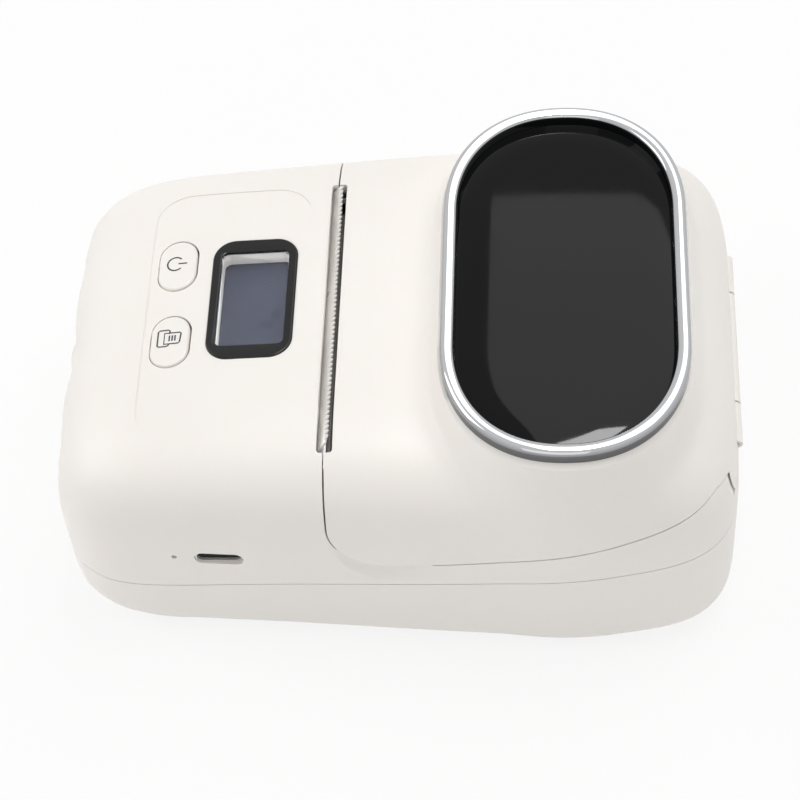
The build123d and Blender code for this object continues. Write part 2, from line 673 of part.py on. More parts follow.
# Upper case: front housing with the deck, its openings, and the low rim under the cover
with BuildPart() as upper_case:
    add(outer_form)
    split(bisect_by=parting_plane.offset(PARTING_GAP), keep=Keep.TOP)
    add(inner_form, mode=Mode.SUBTRACT)
    add(case_zone, mode=Mode.SUBTRACT)
    with BuildSketch(deck_plane.offset(-WELL_DEPTH)):
        with Locations(window_place):
            RectangleRounded(WINDOW_LENGTH + 2 * WELL_WALL, WINDOW_WIDTH + 2 * WELL_WALL,
                             WINDOW_CORNER + WELL_WALL)
    extrude(amount=WELL_DEPTH - WALL / 2)
    with BuildSketch(deck_plane.offset(-WELL_DEPTH)):
        with Locations(window_place):
            RectangleRounded(WINDOW_LENGTH, WINDOW_WIDTH, WINDOW_CORNER)
    extrude(amount=WELL_DEPTH + 2 * WALL, mode=Mode.SUBTRACT)
    add(panel_tool, mode=Mode.SUBTRACT)
    with BuildSketch(deck_plane.offset(BEZEL_PROUD - BEZEL_THICKNESS)):
        with Locations(window_place):
            RectangleRounded(BEZEL_LENGTH + 2 * BEZEL_FIT, BEZEL_WIDTH + 2 * BEZEL_FIT,
                             BEZEL_CORNER + BEZEL_FIT)
    extrude(amount=2 * WALL, mode=Mode.SUBTRACT)
    with BuildSketch(deck_plane.offset(-2 * WALL)):
        with Locations(*button_places):
            SlotOverall(BUTTON_LENGTH + 2 * BUTTON_GAP, BUTTON_WIDTH + 2 * BUTTON_GAP)
    extrude(amount=4 * WALL, mode=Mode.SUBTRACT)
    with BuildSketch(deck_plane.offset(-key_board_depth)):
        with Locations(*key_boss_places):
            Circle(KEY_BOSS_RADIUS)
    extrude(amount=key_board_depth - WALL)
    with BuildSketch(deck_plane.offset(-key_board_depth)):
        with Locations(*key_boss_places):
            Circle(SCREW_RADIUS + SCREW_CLEARANCE)
    extrude(amount=key_board_depth - 2 * WALL, mode=Mode.SUBTRACT)
    add(slot_tool, mode=Mode.SUBTRACT)
    # Rib that carries the tear bar, in front of the slot
    with BuildSketch(Plane.YZ.offset(SLOT_X - BLADE_LENGTH / 2)):
        with Locations((BLADE_Y - BLADE_THICKNESS / 2, BLADE_BEND_Z - BLADE_FOOT)):
            Rectangle(WALL, DECK_Z - WALL - BLADE_BEND_Z + BLADE_FOOT, align=(Align.MAX, Align.MIN))
    extrude(amount=BLADE_LENGTH)
    # Room for the blade where the deck falls away at its ends
    add(block((SLOT_X - SLOT_LENGTH / 2, BLADE_Y - BLADE_THICKNESS / 2, BLADE_BEND_Z - BLADE_FOOT),
              (SLOT_X + SLOT_LENGTH / 2, SEAM_Y, BLADE_BEND_Z + BLADE_RELIEF)), mode=Mode.SUBTRACT)
    # Side openings for the socket and the reset pin
    with BuildSketch(Plane.YZ.offset(FRONT_HALF_WIDTH - 3 * WALL)):
        with Locations((USB_Y, usb_z)):
            SlotOverall(USB_HOLE[0], USB_HOLE[1])
        with Locations((RESET_Y, usb_z)):
            Circle(RESET_HOLE_RADIUS)
    extrude(amount=6 * WALL, mode=Mode.SUBTRACT)
    for side in (-1, 1):
        scoop_x = side * (half_width(SCOOP_CENTER[0]) - SCOOP_DEPTH)
        with Locations(Plane(origin=(scoop_x, *SCOOP_CENTER), z_dir=(side, 0, 0))):
            Cone(SCOOP_RADIUS - SCOOP_TAPER, SCOOP_RADIUS + SCOOP_TAPER, 2 * SCOOP_DEPTH,
                 align=(Align.CENTER, Align.CENTER, Align.MIN), mode=Mode.SUBTRACT)
    add(case_bosses)
    with BuildSketch(Plane.XY.offset(BASE_Z)):
        with Locations(*case_screw_places):
            Circle(CASE_SCREW_RADIUS + SCREW_CLEARANCE)
    extrude(amount=CASE_SCREW_TIP_Z - BASE_Z, mode=Mode.SUBTRACT)
    # Hinge: a channel across the rear rim and two knuckles standing in it
    add(hinge_cylinder(channel_radius, -HINGE_HALF_SPAN - KNUCKLE_GAP, HINGE_HALF_SPAN + KNUCKLE_GAP),
        mode=Mode.SUBTRACT)
    for side in (-1, 1):
        inner_end, outer_end = side * (COVER_KNUCKLE_HALF + KNUCKLE_GAP), side * HINGE_HALF_SPAN
        start, end = min(inner_end, outer_end), max(inner_end, outer_end)
        add(hinge_cylinder(HINGE_BARREL_RADIUS, start, end))
        add(block((start, HINGE_Y - HINGE_BARREL_RADIUS, HINGE_Z - KNUCKLE_WEB_DEPTH),
                  (end, HINGE_Y, HINGE_Z)))
    add(hinge_cylinder(HINGE_PIN_RADIUS + HINGE_FIT, -HINGE_HALF_SPAN, HINGE_HALF_SPAN), mode=Mode.SUBTRACT)
upper_case.part.label = "upper_case"
export_step(upper_case.part, "parts/upper_case.step")

with BuildPart() as cover_bosses:
    with BuildSketch(Plane.XY.offset(cover_frame_top)):
        with Locations(*cover_boss_places):
            Circle(POST_RADIUS)
    extrude(amount=SEAT_Z - cover_frame_top)
    add(boss_form, mode=Mode.INTERSECT)

# Cover: the rear shell with the hump, one knuckle and bosses for its inner frame
with BuildPart() as cover:
    add(outer_form)
    add(cover_zone, mode=Mode.INTERSECT)
    add(inner_form, mode=Mode.SUBTRACT)
    add(slot_tool, mode=Mode.SUBTRACT)
    add(cover_bosses)
    with BuildSketch(Plane.XY.offset(cover_frame_top)):
        with Locations(*cover_boss_places):
            Circle(SCREW_RADIUS + SCREW_CLEARANCE)
    extrude(amount=COVER_SCREW_BITE, mode=Mode.SUBTRACT)
    for side in (-1, 1):
        start = side * (COVER_KNUCKLE_HALF + KNUCKLE_GAP + HINGE_HALF_SPAN) / 2
        span = HINGE_HALF_SPAN + KNUCKLE_GAP - COVER_KNUCKLE_HALF
        add(hinge_cylinder(channel_radius, start - span / 2, start + span / 2), mode=Mode.SUBTRACT)
    add(hinge_cylinder(HINGE_BARREL_RADIUS, -COVER_KNUCKLE_HALF, COVER_KNUCKLE_HALF))
    add(hinge_cylinder(HINGE_PIN_RADIUS + HINGE_FIT, -HINGE_HALF_SPAN, HINGE_HALF_SPAN), mode=Mode.SUBTRACT)
cover.part.label = "cover"
export_step(cover.part, "parts/cover.step")

# Ring and lens on the hump's seat
with BuildPart() as lens_ring:
    with BuildSketch(Plane.XY.offset(SEAT_Z)):
        with BuildLine():
            Spline(oblong_points(RING_HALF_LENGTH, RING_HALF_WIDTH), periodic=True)
        make_face()
        with BuildLine():
            Spline(oblong_points(RING_HALF_LENGTH - RING_BAND, RING_HALF_WIDTH - RING_BAND), periodic=True)
        make_face(mode=Mode.SUBTRACT)
    extrude(amount=RING_HEIGHT)
    fillet(lens_ring.faces().sort_by(Axis.Z)[-1].outer_wire().edges(), RING_ROUNDING)
lens_ring.part.label = "lens_ring"
export_step(lens_ring.part, "parts/lens_ring.step")

lens_half_length = RING_HALF_LENGTH - RING_BAND - LENS_FIT
lens_half_width = RING_HALF_WIDTH - RING_BAND - LENS_FIT
with BuildPart() as lens:
    with BuildSketch(Plane.XY.offset(SEAT_Z)):
        with BuildLine():
            Spline(oblong_points(lens_half_length, lens_half_width), periodic=True)
        make_face()
    extrude(amount=LENS_THICKNESS)
    with Locations((0, LENS_CENTER_Y, SEAT_Z + LENS_THICKNESS - LENS_DOME_RADIUS)):
        Sphere(LENS_DOME_RADIUS, mode=Mode.INTERSECT)
lens.part.label = "lens"
export_step(lens.part, "parts/lens.step")

# Display: black frame, clear pane, and the module under the well
with BuildPart() as display_bezel:
    with BuildSketch(deck_plane.offset(BEZEL_PROUD - BEZEL_THICKNESS)):
        with Locations(window_place):
            RectangleRounded(BEZEL_LENGTH, BEZEL_WIDTH, BEZEL_CORNER)
            RectangleRounded(WINDOW_LENGTH, WINDOW_WIDTH, WINDOW_CORNER, mode=Mode.SUBTRACT)
    extrude(amount=BEZEL_THICKNESS)
    fillet(display_bezel.faces().sort_by(deck_up)[-1].outer_wire().edges(), BEZEL_EASE)
display_bezel.part.label = "display_bezel"
export_step(display_bezel.part, "parts/display_bezel.step")

with BuildPart() as display_pane:
    with BuildSketch(deck_plane.offset(BEZEL_PROUD - BEZEL_THICKNESS)):
        with Locations(window_place):
            RectangleRounded(WINDOW_LENGTH - 2 * BEZEL_FIT, WINDOW_WIDTH - 2 * BEZEL_FIT, WINDOW_CORNER)
    extrude(amount=PANE_THICKNESS)
display_pane.part.label = "display_pane"
export_step(display_pane.part, "parts/display_pane.step")

with BuildPart() as display_module:
    with BuildSketch(deck_plane.offset(-WELL_DEPTH - LCD_THICKNESS)):
        with Locations(window_place):
            Rectangle(WINDOW_LENGTH + 2 * LCD_MARGIN, WINDOW_WIDTH + 2 * LCD_MARGIN)
    extrude(amount=LCD_THICKNESS)
    fillet(display_module.edges().filter_by(deck_up), LCD_CORNER)
display_module.part.label = "display_module"
export_step(display_module.part, "parts/display_module.step")

# Buttons: caps that follow the deck, held by flanges, with stems that rest on the switch plungers
for name, place in zip(("power", "feed"), button_places):
    with BuildPart() as button:
        with BuildSketch(deck_plane.offset(-flange_depth)):
            with Locations(place):
                SlotOverall(BUTTON_LENGTH, BUTTON_WIDTH)
        extrude(amount=flange_depth + WALL)
        add(button_form, mode=Mode.INTERSECT)
        with BuildSketch(deck_plane.offset(-flange_depth)):
            with Locations(place):
                SlotOverall(BUTTON_LENGTH + 2 * BUTTON_FLANGE, BUTTON_WIDTH + 2 * BUTTON_FLANGE)
        extrude(amount=BUTTON_FLANGE_THICKNESS)
        with BuildSketch(deck_plane.offset(-STEM_TIP_DEPTH)):
            with Locations(place):
                Circle(BUTTON_STEM_RADIUS)
        extrude(amount=STEM_TIP_DEPTH - flange_depth)
    button.part.label = name + "_button"
    export_step(button.part, "parts/" + name + "_button.step")
    with BuildPart() as plunger:
        with BuildSketch(deck_plane.offset(-STEM_TIP_DEPTH - PLUNGER_LENGTH)):
            with Locations(place):
                Circle(PLUNGER_RADIUS)
        extrude(amount=PLUNGER_LENGTH)
    plunger.part.label = name + "_plunger"
    export_step(plunger.part, "parts/" + name + "_plunger.step")

with BuildPart() as tact_switches:
    with BuildSketch(deck_plane.offset(-key_board_depth)):
        with Locations(*button_places):
            RectangleRounded(SWITCH_SIZE, SWITCH_SIZE, SWITCH_CORNER)
    extrude(amount=SWITCH_HEIGHT)
    with BuildSketch(deck_plane.offset(-key_board_depth + SWITCH_HEIGHT - PLUNGER_LENGTH)):
        with Locations(*button_places):
            Circle(PLUNGER_RADIUS + PLUNGER_FIT)
    extrude(amount=PLUNGER_LENGTH, mode=Mode.SUBTRACT)
tact_switches.part.label = "tact_switches"
export_step(tact_switches.part, "parts/tact_switches.step")

with BuildPart() as key_board:
    with BuildSketch(deck_plane.offset(-key_board_depth - KEY_BOARD_THICKNESS)):
        with Locations(key_center):
            RectangleRounded(KEY_BOARD_LENGTH, KEY_BOARD_WIDTH, KEY_BOARD_CORNER)
        with Locations(*key_boss_places):
            Circle(SCREW_RADIUS + SCREW_CLEARANCE, mode=Mode.SUBTRACT)
    extrude(amount=KEY_BOARD_THICKNESS)
key_board.part.label = "key_board"
export_step(key_board.part, "parts/key_board.step")

with BuildPart() as key_board_screws:
    with BuildSketch(deck_plane.offset(-key_board_depth - KEY_BOARD_THICKNESS - SCREW_HEAD_HEIGHT)):
        with Locations(*key_boss_places):
            Circle(SCREW_HEAD_RADIUS)
    extrude(amount=SCREW_HEAD_HEIGHT)
    with BuildSketch(deck_plane.offset(-key_board_depth - KEY_BOARD_THICKNESS)):
        with Locations(*key_boss_places):
            Circle(SCREW_RADIUS)
    extrude(amount=KEY_BOARD_THICKNESS + COVER_SCREW_BITE)
key_board_screws.part.label = "key_board_screws"
export_step(key_board_screws.part, "parts/key_board_screws.step")

# Main board with its chips, screws, socket and reset switch
with BuildPart() as main_board:
    with BuildSketch(Plane.XY.offset(BOARD_Z)):
        with Locations(BOARD_CENTER):
            RectangleRounded(BOARD_SIZE[0], BOARD_SIZE[1], BOARD_CORNER)
        with Locations(*board_posts):
            Circle(SCREW_RADIUS + SCREW_CLEARANCE, mode=Mode.SUBTRACT)
    extrude(amount=BOARD_THICKNESS)
main_board.part.label = "main_board"
export_step(main_board.part, "parts/main_board.step")

board_top = BOARD_Z + BOARD_THICKNESS
with BuildPart() as board_chips:
    for x, y, length, width, height in CHIPS:
        with Locations((BOARD_CENTER[0] + x, BOARD_CENTER[1] + y, board_top)):
            Box(length, width, height, align=(Align.CENTER, Align.CENTER, Align.MIN))
board_chips.part.label = "board_chips"
export_step(board_chips.part, "parts/board_chips.step")


def screw_group(name, places, seat_z, length):
    """Pan-head screws whose heads sit on one level and whose shanks point down."""
    with BuildPart() as screws:
        with BuildSketch(Plane.XY.offset(seat_z)):
            with Locations(*places):
                Circle(SCREW_HEAD_RADIUS)
                Rectangle(SCREW_HEAD_RADIUS, SCREW_DRIVE_WIDTH, mode=Mode.SUBTRACT)
        extrude(amount=SCREW_HEAD_HEIGHT)
        with BuildSketch(Plane.XY.offset(seat_z)):
            with Locations(*places):
                Circle(SCREW_HEAD_RADIUS)
        extrude(amount=SCREW_HEAD_HEIGHT / 2)
        with BuildSketch(Plane.XY.offset(seat_z - length)):
            with Locations(*places):
                Circle(SCREW_RADIUS)
        extrude(amount=length)
    screws.part.label = name
    export_step(screws.part, "parts/" + name + ".step")


screw_group("board_screws", board_posts, board_top, BOARD_THICKNESS + SCREW_BITE)
screw_group("frame_screws", frame_posts, FRAME_FLOOR_Z + FRAME_THICKNESS, FRAME_THICKNESS + SCREW_BITE)
screw_group("tray_screws", tray_posts, TRAY_RIM_Z, TRAY_FLANGE_THICKNESS + SCREW_BITE)

with BuildPart() as case_screws:
    with BuildSketch(Plane.XY.offset(BASE_Z + CASE_SCREW_PIT - CASE_SCREW_HEAD_HEIGHT)):
        with Locations(*case_screw_places):
            Circle(CASE_SCREW_HEAD_RADIUS)
    extrude(amount=CASE_SCREW_HEAD_HEIGHT)
    with BuildSketch(Plane.XY.offset(BASE_Z + CASE_SCREW_PIT)):
        with Locations(*case_screw_places):
            Circle(CASE_SCREW_RADIUS)
    extrude(amount=CASE_SCREW_TIP_Z - BASE_Z - CASE_SCREW_PIT - CASE_SCREW_END_GAP)
    with BuildSketch(Plane.XY.offset(BASE_Z + CASE_SCREW_PIT - CASE_SCREW_HEAD_HEIGHT)):
        with Locations(*case_screw_places):
            Rectangle(CASE_SCREW_HEAD_RADIUS, SCREW_DRIVE_WIDTH)
            Rectangle(SCREW_DRIVE_WIDTH, CASE_SCREW_HEAD_RADIUS)
    extrude(amount=CASE_SCREW_HEAD_HEIGHT / 2, mode=Mode.SUBTRACT)
case_screws.part.label = "case_screws"
export_step(case_screws.part, "parts/case_screws.step")

with BuildPart() as rubber_feet:
    with BuildSketch():
        with Locations(*FOOT_PLACES):
            Circle(FOOT_RADIUS)
    extrude(amount=BASE_Z + FOOT_RECESS)
    chamfer(rubber_feet.edges().group_by(Axis.Z)[0], FOOT_EASE)
rubber_feet.part.label = "rubber_feet"
export_step(rubber_feet.part, "parts/rubber_feet.step")

with BuildPart() as battery:
    with Locations((BOARD_CENTER[0], BOARD_CENTER[1], floor_z)):
        Box(*BATTERY_SIZE, align=(Align.CENTER, Align.CENTER, Align.MIN))
    fillet(battery.edges().filter_by(Axis.X), BATTERY_ROUNDING)
battery.part.label = "battery"
export_step(battery.part, "parts/battery.step")

usb_front = half_width(USB_Y) - USB_RECESS
with BuildPart() as usb_socket:
    with BuildSketch(Plane.YZ.offset(usb_front - USB_SIZE[0])):
        with Locations((USB_Y, usb_z)):
            RectangleRounded(USB_SIZE[1], USB_SIZE[2], USB_CORNER)
    extrude(amount=USB_SIZE[0])
    with BuildSketch(Plane.YZ.offset(usb_front - USB_SIZE[0] + USB_BACK)):
        with Locations((USB_Y, usb_z)):
            RectangleRounded(USB_SIZE[1] - 2 * USB_SHELL, USB_SIZE[2] - 2 * USB_SHELL,
                             USB_CORNER - USB_SHELL)
            Rectangle(*USB_TONGUE, mode=Mode.SUBTRACT)
    extrude(amount=USB_SIZE[0], mode=Mode.SUBTRACT)
usb_socket.part.label = "usb_socket"
export_step(usb_socket.part, "parts/usb_socket.step")

reset_front = half_width(RESET_Y) - WALL - RESET_SETBACK
with BuildPart() as reset_switch:
    with Locations((reset_front - RESET_SIZE[0] / 2, RESET_Y, board_top)):
        Box(*RESET_SIZE, align=(Align.CENTER, Align.CENTER, Align.MIN))
    with BuildSketch(Plane.YZ.offset(reset_front)):
        with Locations((RESET_Y, usb_z)):
            Circle(RESET_PIN[0])
    extrude(amount=RESET_PIN[1])
reset_switch.part.label = "reset_switch"
export_step(reset_switch.part, "parts/reset_switch.step")

# Tear bar: a foot on the rib and a leaning blade with a saw edge
lean = math.radians(BLADE_LEAN)
blade_plane = Plane(origin=(SLOT_X, BLADE_Y, BLADE_BEND_Z), x_dir=(1, 0, 0),
                    z_dir=(0, -math.cos(lean), math.sin(lean)))
blade_height = BLADE_RISE / math.cos(lean)
tooth_pitch = BLADE_LENGTH / BLADE_TEETH
saw = [(-BLADE_LENGTH / 2, 0.0)]
for tooth in range(BLADE_TEETH):
    left = -BLADE_LENGTH / 2 + tooth * tooth_pitch
    saw += [(left, blade_height - BLADE_TOOTH_DEPTH), (left + tooth_pitch / 2, blade_height)]
saw += [(BLADE_LENGTH / 2, blade_height - BLADE_TOOTH_DEPTH), (BLADE_LENGTH / 2, 0.0)]
with BuildPart() as tear_bar:
    add(block((SLOT_X - BLADE_LENGTH / 2, BLADE_Y - BLADE_THICKNESS / 2, BLADE_BEND_Z - BLADE_FOOT),
              (SLOT_X + BLADE_LENGTH / 2, BLADE_Y + BLADE_THICKNESS / 2, BLADE_BEND_Z)))
    with BuildSketch(blade_plane):
        with BuildLine():
            Polyline(*saw, close=True)
        make_face()
    extrude(amount=BLADE_THICKNESS / 2, both=True)
tear_bar.part.label = "tear_bar"
export_step(tear_bar.part, "parts/tear_bar.step")

# Print frame: side plates with notches for the bushings, back plate and floor plate
platen_center = (PLATEN_Y, PLATEN_Z)
first_center = stepped(platen_center, FIRST_IDLER_ANGLE,
                       (PLATEN_TEETH + FIRST_IDLER_TEETH) * GEAR_MODULE / 2)
second_center = stepped(first_center, SECOND_IDLER_ANGLE,
                        (FIRST_IDLER_TEETH + SECOND_IDLER_TEETH) * GEAR_MODULE / 2)
motor_center = stepped(second_center, PINION_ANGLE, (SECOND_IDLER_TEETH + PINION_TEETH) * GEAR_MODULE / 2)
left_outer = SLOT_X - FRAME_PLATE_OFFSET - FRAME_THICKNESS / 2
left_inner = left_outer + FRAME_THICKNESS
right_inner = SLOT_X + FRAME_PLATE_OFFSET - FRAME_THICKNESS / 2
right_outer = right_inner + FRAME_THICKNESS
frame_front_y = motor_center[0] - MOTOR_RADIUS - FRAME_MARGIN
head_pivot = (PLATEN_Y - PLATEN_RADIUS - HEAD_PIVOT_SETBACK, HEAD_PIVOT_Z)
left_outline = [(0, FRAME_TOP_Z), (frame_front_y, FRAME_TOP_Z),
                (frame_front_y, motor_center[1] - MOTOR_RADIUS),
                (FRAME_BACK_Y, FRAME_LOW_Z), (0, FRAME_LOW_Z)]
right_outline = [(0, FRAME_TOP_Z), (FRAME_BACK_Y, FRAME_TOP_Z), (FRAME_BACK_Y, FRAME_SHELF_Z),
                 (FRAME_FLOOR_FRONT_Y, FRAME_SHELF_Z), (FRAME_FLOOR_FRONT_Y, FRAME_FLOOR_Z),
                 (0, FRAME_FLOOR_Z)]
with BuildPart() as print_frame:
    add(prism_x(left_outline, left_outer, left_inner))
    add(prism_x(right_outline, right_inner, right_outer))
    add(block((left_outer, FRAME_BACK_Y, FRAME_SHELF_Z),
              (right_outer, FRAME_BACK_Y + FRAME_THICKNESS, FRAME_TOP_Z)))
    add(block((left_outer, FRAME_FLOOR_FRONT_Y, FRAME_FLOOR_Z),
              (right_outer, FRAME_FLOOR_REAR_Y, FRAME_FLOOR_Z + FRAME_THICKNESS)))
    notch = BUSHING_RADIUS + NOTCH_CLEARANCE
    add(rod_x(notch, left_outer, right_outer, *platen_center), mode=Mode.SUBTRACT)
    add(block((left_outer, PLATEN_Y - notch, PLATEN_Z), (right_outer, PLATEN_Y + notch, FRAME_TOP_Z)),
        mode=Mode.SUBTRACT)
    add(rod_x(HEAD_PIVOT_RADIUS, left_outer, right_outer, *head_pivot), mode=Mode.SUBTRACT)
    for center in (first_center, second_center):
        add(rod_x(AXLE_RADIUS, left_outer, left_inner, *center), mode=Mode.SUBTRACT)
    add(rod_x(MOTOR_BOSS_RADIUS, left_outer, left_inner, *motor_center), mode=Mode.SUBTRACT)
    with BuildSketch(Plane.XY.offset(FRAME_FLOOR_Z)):
        with Locations(*frame_posts):
            Circle(SCREW_RADIUS + SCREW_CLEARANCE)
    extrude(amount=FRAME_THICKNESS, mode=Mode.SUBTRACT)
    # Spigots that hold the head springs
    for offset in SPRING_OFFSETS:
        add(Solid.make_cylinder(SPIGOT_RADIUS, SPIGOT_LENGTH, Plane(
            origin=(SLOT_X + offset, FRAME_BACK_Y + FRAME_THICKNESS, SPRING_Z), z_dir=(0, 1, 0))))
print_frame.part.label = "print_frame"
export_step(print_frame.part, "parts/print_frame.step")

with BuildPart() as head_pivot_pin:
    add(rod_x(HEAD_PIVOT_RADIUS, left_outer, right_outer, *head_pivot))
head_pivot_pin.part.label = "head_pivot_pin"
export_step(head_pivot_pin.part, "parts/head_pivot_pin.step")

# Print head: a ceramic strip on a finned heatsink that turns on the pivot pin
sink_bottom = HEAD_PIVOT_Z + HEAD_PIVOT_RADIUS + HEAD_PIN_GAP
sink_rear_y = head_pivot[0] - HEATSINK_THICKNESS / 2
ceramic_rear_y = sink_rear_y + HEATSINK_THICKNESS
with BuildPart() as print_head:
    add(block((SLOT_X - CERAMIC_LENGTH / 2, ceramic_rear_y, CERAMIC_BOTTOM_Z),
              (SLOT_X + CERAMIC_LENGTH / 2, ceramic_rear_y + CERAMIC_THICKNESS, CERAMIC_TOP_Z)))
    chamfer(print_head.faces().sort_by(Axis.Y)[-1].edges().filter_by(Axis.X), CERAMIC_THICKNESS / 3)
print_head.part.label = "print_head"
export_step(print_head.part, "parts/print_head.step")

sink_start, sink_end = SLOT_X - HEATSINK_LENGTH / 2, SLOT_X + HEATSINK_LENGTH / 2
with BuildPart() as head_heatsink:
    add(block((sink_start, sink_rear_y, sink_bottom), (sink_end, ceramic_rear_y, CERAMIC_TOP_Z)))
    for start in (sink_start, sink_end - HEAD_EAR_THICKNESS):
        add(rod_x(HEAD_EAR_RADIUS, start, start + HEAD_EAR_THICKNESS, *head_pivot))
        add(block((start, head_pivot[0] - HEATSINK_THICKNESS / 2, HEAD_PIVOT_Z),
                  (start + HEAD_EAR_THICKNESS, head_pivot[0] + HEATSINK_THICKNESS / 2, sink_bottom)))
    add(rod_x(HEAD_PIVOT_RADIUS + SHAFT_FIT, sink_start, sink_end, *head_pivot), mode=Mode.SUBTRACT)
    for groove in range(SINK_GROOVES):
        z = SINK_GROOVE_Z + groove * SINK_GROOVE_PITCH
        add(block((sink_start, sink_rear_y, z),
                  (sink_end, sink_rear_y + SINK_GROOVE_DEPTH, z + SINK_GROOVE_WIDTH)),
            mode=Mode.SUBTRACT)
head_heatsink.part.label = "head_heatsink"
export_step(head_heatsink.part, "parts/head_heatsink.step")

spring_start = FRAME_BACK_Y + FRAME_THICKNESS
spring_length = sink_rear_y - SPRING_CLEARANCE - spring_start
coil = Edge.make_helix(pitch=(spring_length - 2 * SPRING_WIRE) / SPRING_TURNS,
                       height=spring_length - 2 * SPRING_WIRE, radius=SPRING_RADIUS)
with BuildPart() as head_springs:
    for offset in SPRING_OFFSETS:
        seat = Plane(origin=(SLOT_X + offset, spring_start + SPRING_WIRE, SPRING_Z), x_dir=(1, 0, 0),
                     z_dir=(0, 1, 0))
        path = Wire([coil.moved(seat.location)])
        section = Face(Wire.make_circle(SPRING_WIRE, Plane(origin=path @ 0, z_dir=path % 0)))
        add(Solid.sweep(section, path, is_frenet=True))
head_springs.part.label = "head_springs"
export_step(head_springs.part, "parts/head_springs.step")

# Motor on the left plate and the gear train beside it
with BuildPart() as motor:
    add(rod_x(MOTOR_RADIUS, left_inner, left_inner + MOTOR_LENGTH, *motor_center))
    add(rod_x(MOTOR_BOSS_RADIUS, left_outer, left_inner, *motor_center))
    fillet(motor.edges().filter_by(GeomType.CIRCLE).sort_by(Axis.X)[-1], MOTOR_ROUNDING)
    add(rod_x(MOTOR_SHAFT_RADIUS + SHAFT_FIT, left_outer, left_inner + MOTOR_BORE_DEPTH, *motor_center),
        mode=Mode.SUBTRACT)
    add(rod_x(MOTOR_BOSS_RADIUS, left_inner + MOTOR_LENGTH, left_inner + MOTOR_LENGTH + FRAME_THICKNESS / 2,
              *motor_center))
motor.part.label = "motor"
export_step(motor.part, "parts/motor.step")

first_phase = meshed_phase(FIRST_IDLER_ANGLE, FIRST_IDLER_ANGLE, PLATEN_TEETH, FIRST_IDLER_TEETH)
second_phase = meshed_phase(SECOND_IDLER_ANGLE, first_phase, FIRST_IDLER_TEETH, SECOND_IDLER_TEETH)
pinion_phase = meshed_phase(PINION_ANGLE, second_phase, SECOND_IDLER_TEETH, PINION_TEETH)
gears = [("platen_gear", platen_center, PLATEN_TEETH, FIRST_IDLER_ANGLE, PLATEN_SHAFT_RADIUS),
         ("first_idler", first_center, FIRST_IDLER_TEETH, first_phase, AXLE_RADIUS + SHAFT_FIT),
         ("second_idler", second_center, SECOND_IDLER_TEETH, second_phase, AXLE_RADIUS + SHAFT_FIT),
         ("motor_pinion", motor_center, PINION_TEETH, pinion_phase, 0.0)]
for name, center, teeth, phase, bore in gears:
    with BuildPart() as gear:
        with BuildSketch(Plane.YZ.offset(GEAR_PLANE_X)):
            with BuildLine():
                Polyline(*gear_points(center, teeth, GEAR_MODULE, phase), close=True)
            make_face()
            if bore:
                with Locations(center):
                    Circle(bore, mode=Mode.SUBTRACT)
        extrude(amount=GEAR_WIDTH)
        if not bore:
            shaft_end = left_inner + MOTOR_BORE_DEPTH - AXLE_END_GAP
            add(rod_x(MOTOR_SHAFT_RADIUS, GEAR_PLANE_X, shaft_end, *center))
    gear.part.label = name
    export_step(gear.part, "parts/" + name + ".step")

with BuildPart() as gear_axles:
    for center in (first_center, second_center):
        add(rod_x(AXLE_RADIUS, GEAR_PLANE_X - AXLE_END_GAP, left_inner, *center))
        add(rod_x(AXLE_HEAD_RADIUS, GEAR_PLANE_X - AXLE_END_GAP - AXLE_HEAD_THICKNESS,
                  GEAR_PLANE_X - AXLE_END_GAP, *center))
        add(rod_x(AXLE_HEAD_RADIUS, GEAR_PLANE_X + GEAR_WIDTH + AXLE_END_GAP, left_outer, *center))
gear_axles.part.label = "gear_axles"
export_step(gear_axles.part, "parts/gear_axles.step")

# Platen: rubber sleeve, shaft and the bushings that drop into the frame's notches
with BuildPart() as platen_roller:
    add(rod_x(PLATEN_RADIUS, SLOT_X - PLATEN_LENGTH / 2, SLOT_X + PLATEN_LENGTH / 2, *platen_center))
    add(rod_x(PLATEN_SHAFT_RADIUS, SLOT_X - PLATEN_LENGTH / 2, SLOT_X + PLATEN_LENGTH / 2, *platen_center),
        mode=Mode.SUBTRACT)
platen_roller.part.label = "platen_roller"
export_step(platen_roller.part, "parts/platen_roller.step")

shaft_reach = BUSHING_OFFSET + BUSHING_LENGTH + SHAFT_PROUD
with BuildPart() as platen_shaft:
    add(rod_x(PLATEN_SHAFT_RADIUS, GEAR_PLANE_X - AXLE_END_GAP, SLOT_X + shaft_reach, *platen_center))
platen_shaft.part.label = "platen_shaft"
export_step(platen_shaft.part, "parts/platen_shaft.step")

with BuildPart() as platen_bushings:
    for side in (-1, 1):
        ends = sorted((SLOT_X + side * BUSHING_OFFSET, SLOT_X + side * (BUSHING_OFFSET + BUSHING_LENGTH)))
        add(rod_x(BUSHING_RADIUS, *ends, *platen_center))
        add(rod_x(PLATEN_SHAFT_RADIUS + SHAFT_FIT, *ends, *platen_center), mode=Mode.SUBTRACT)
platen_bushings.part.label = "platen_bushings"
export_step(platen_bushings.part, "parts/platen_bushings.step")

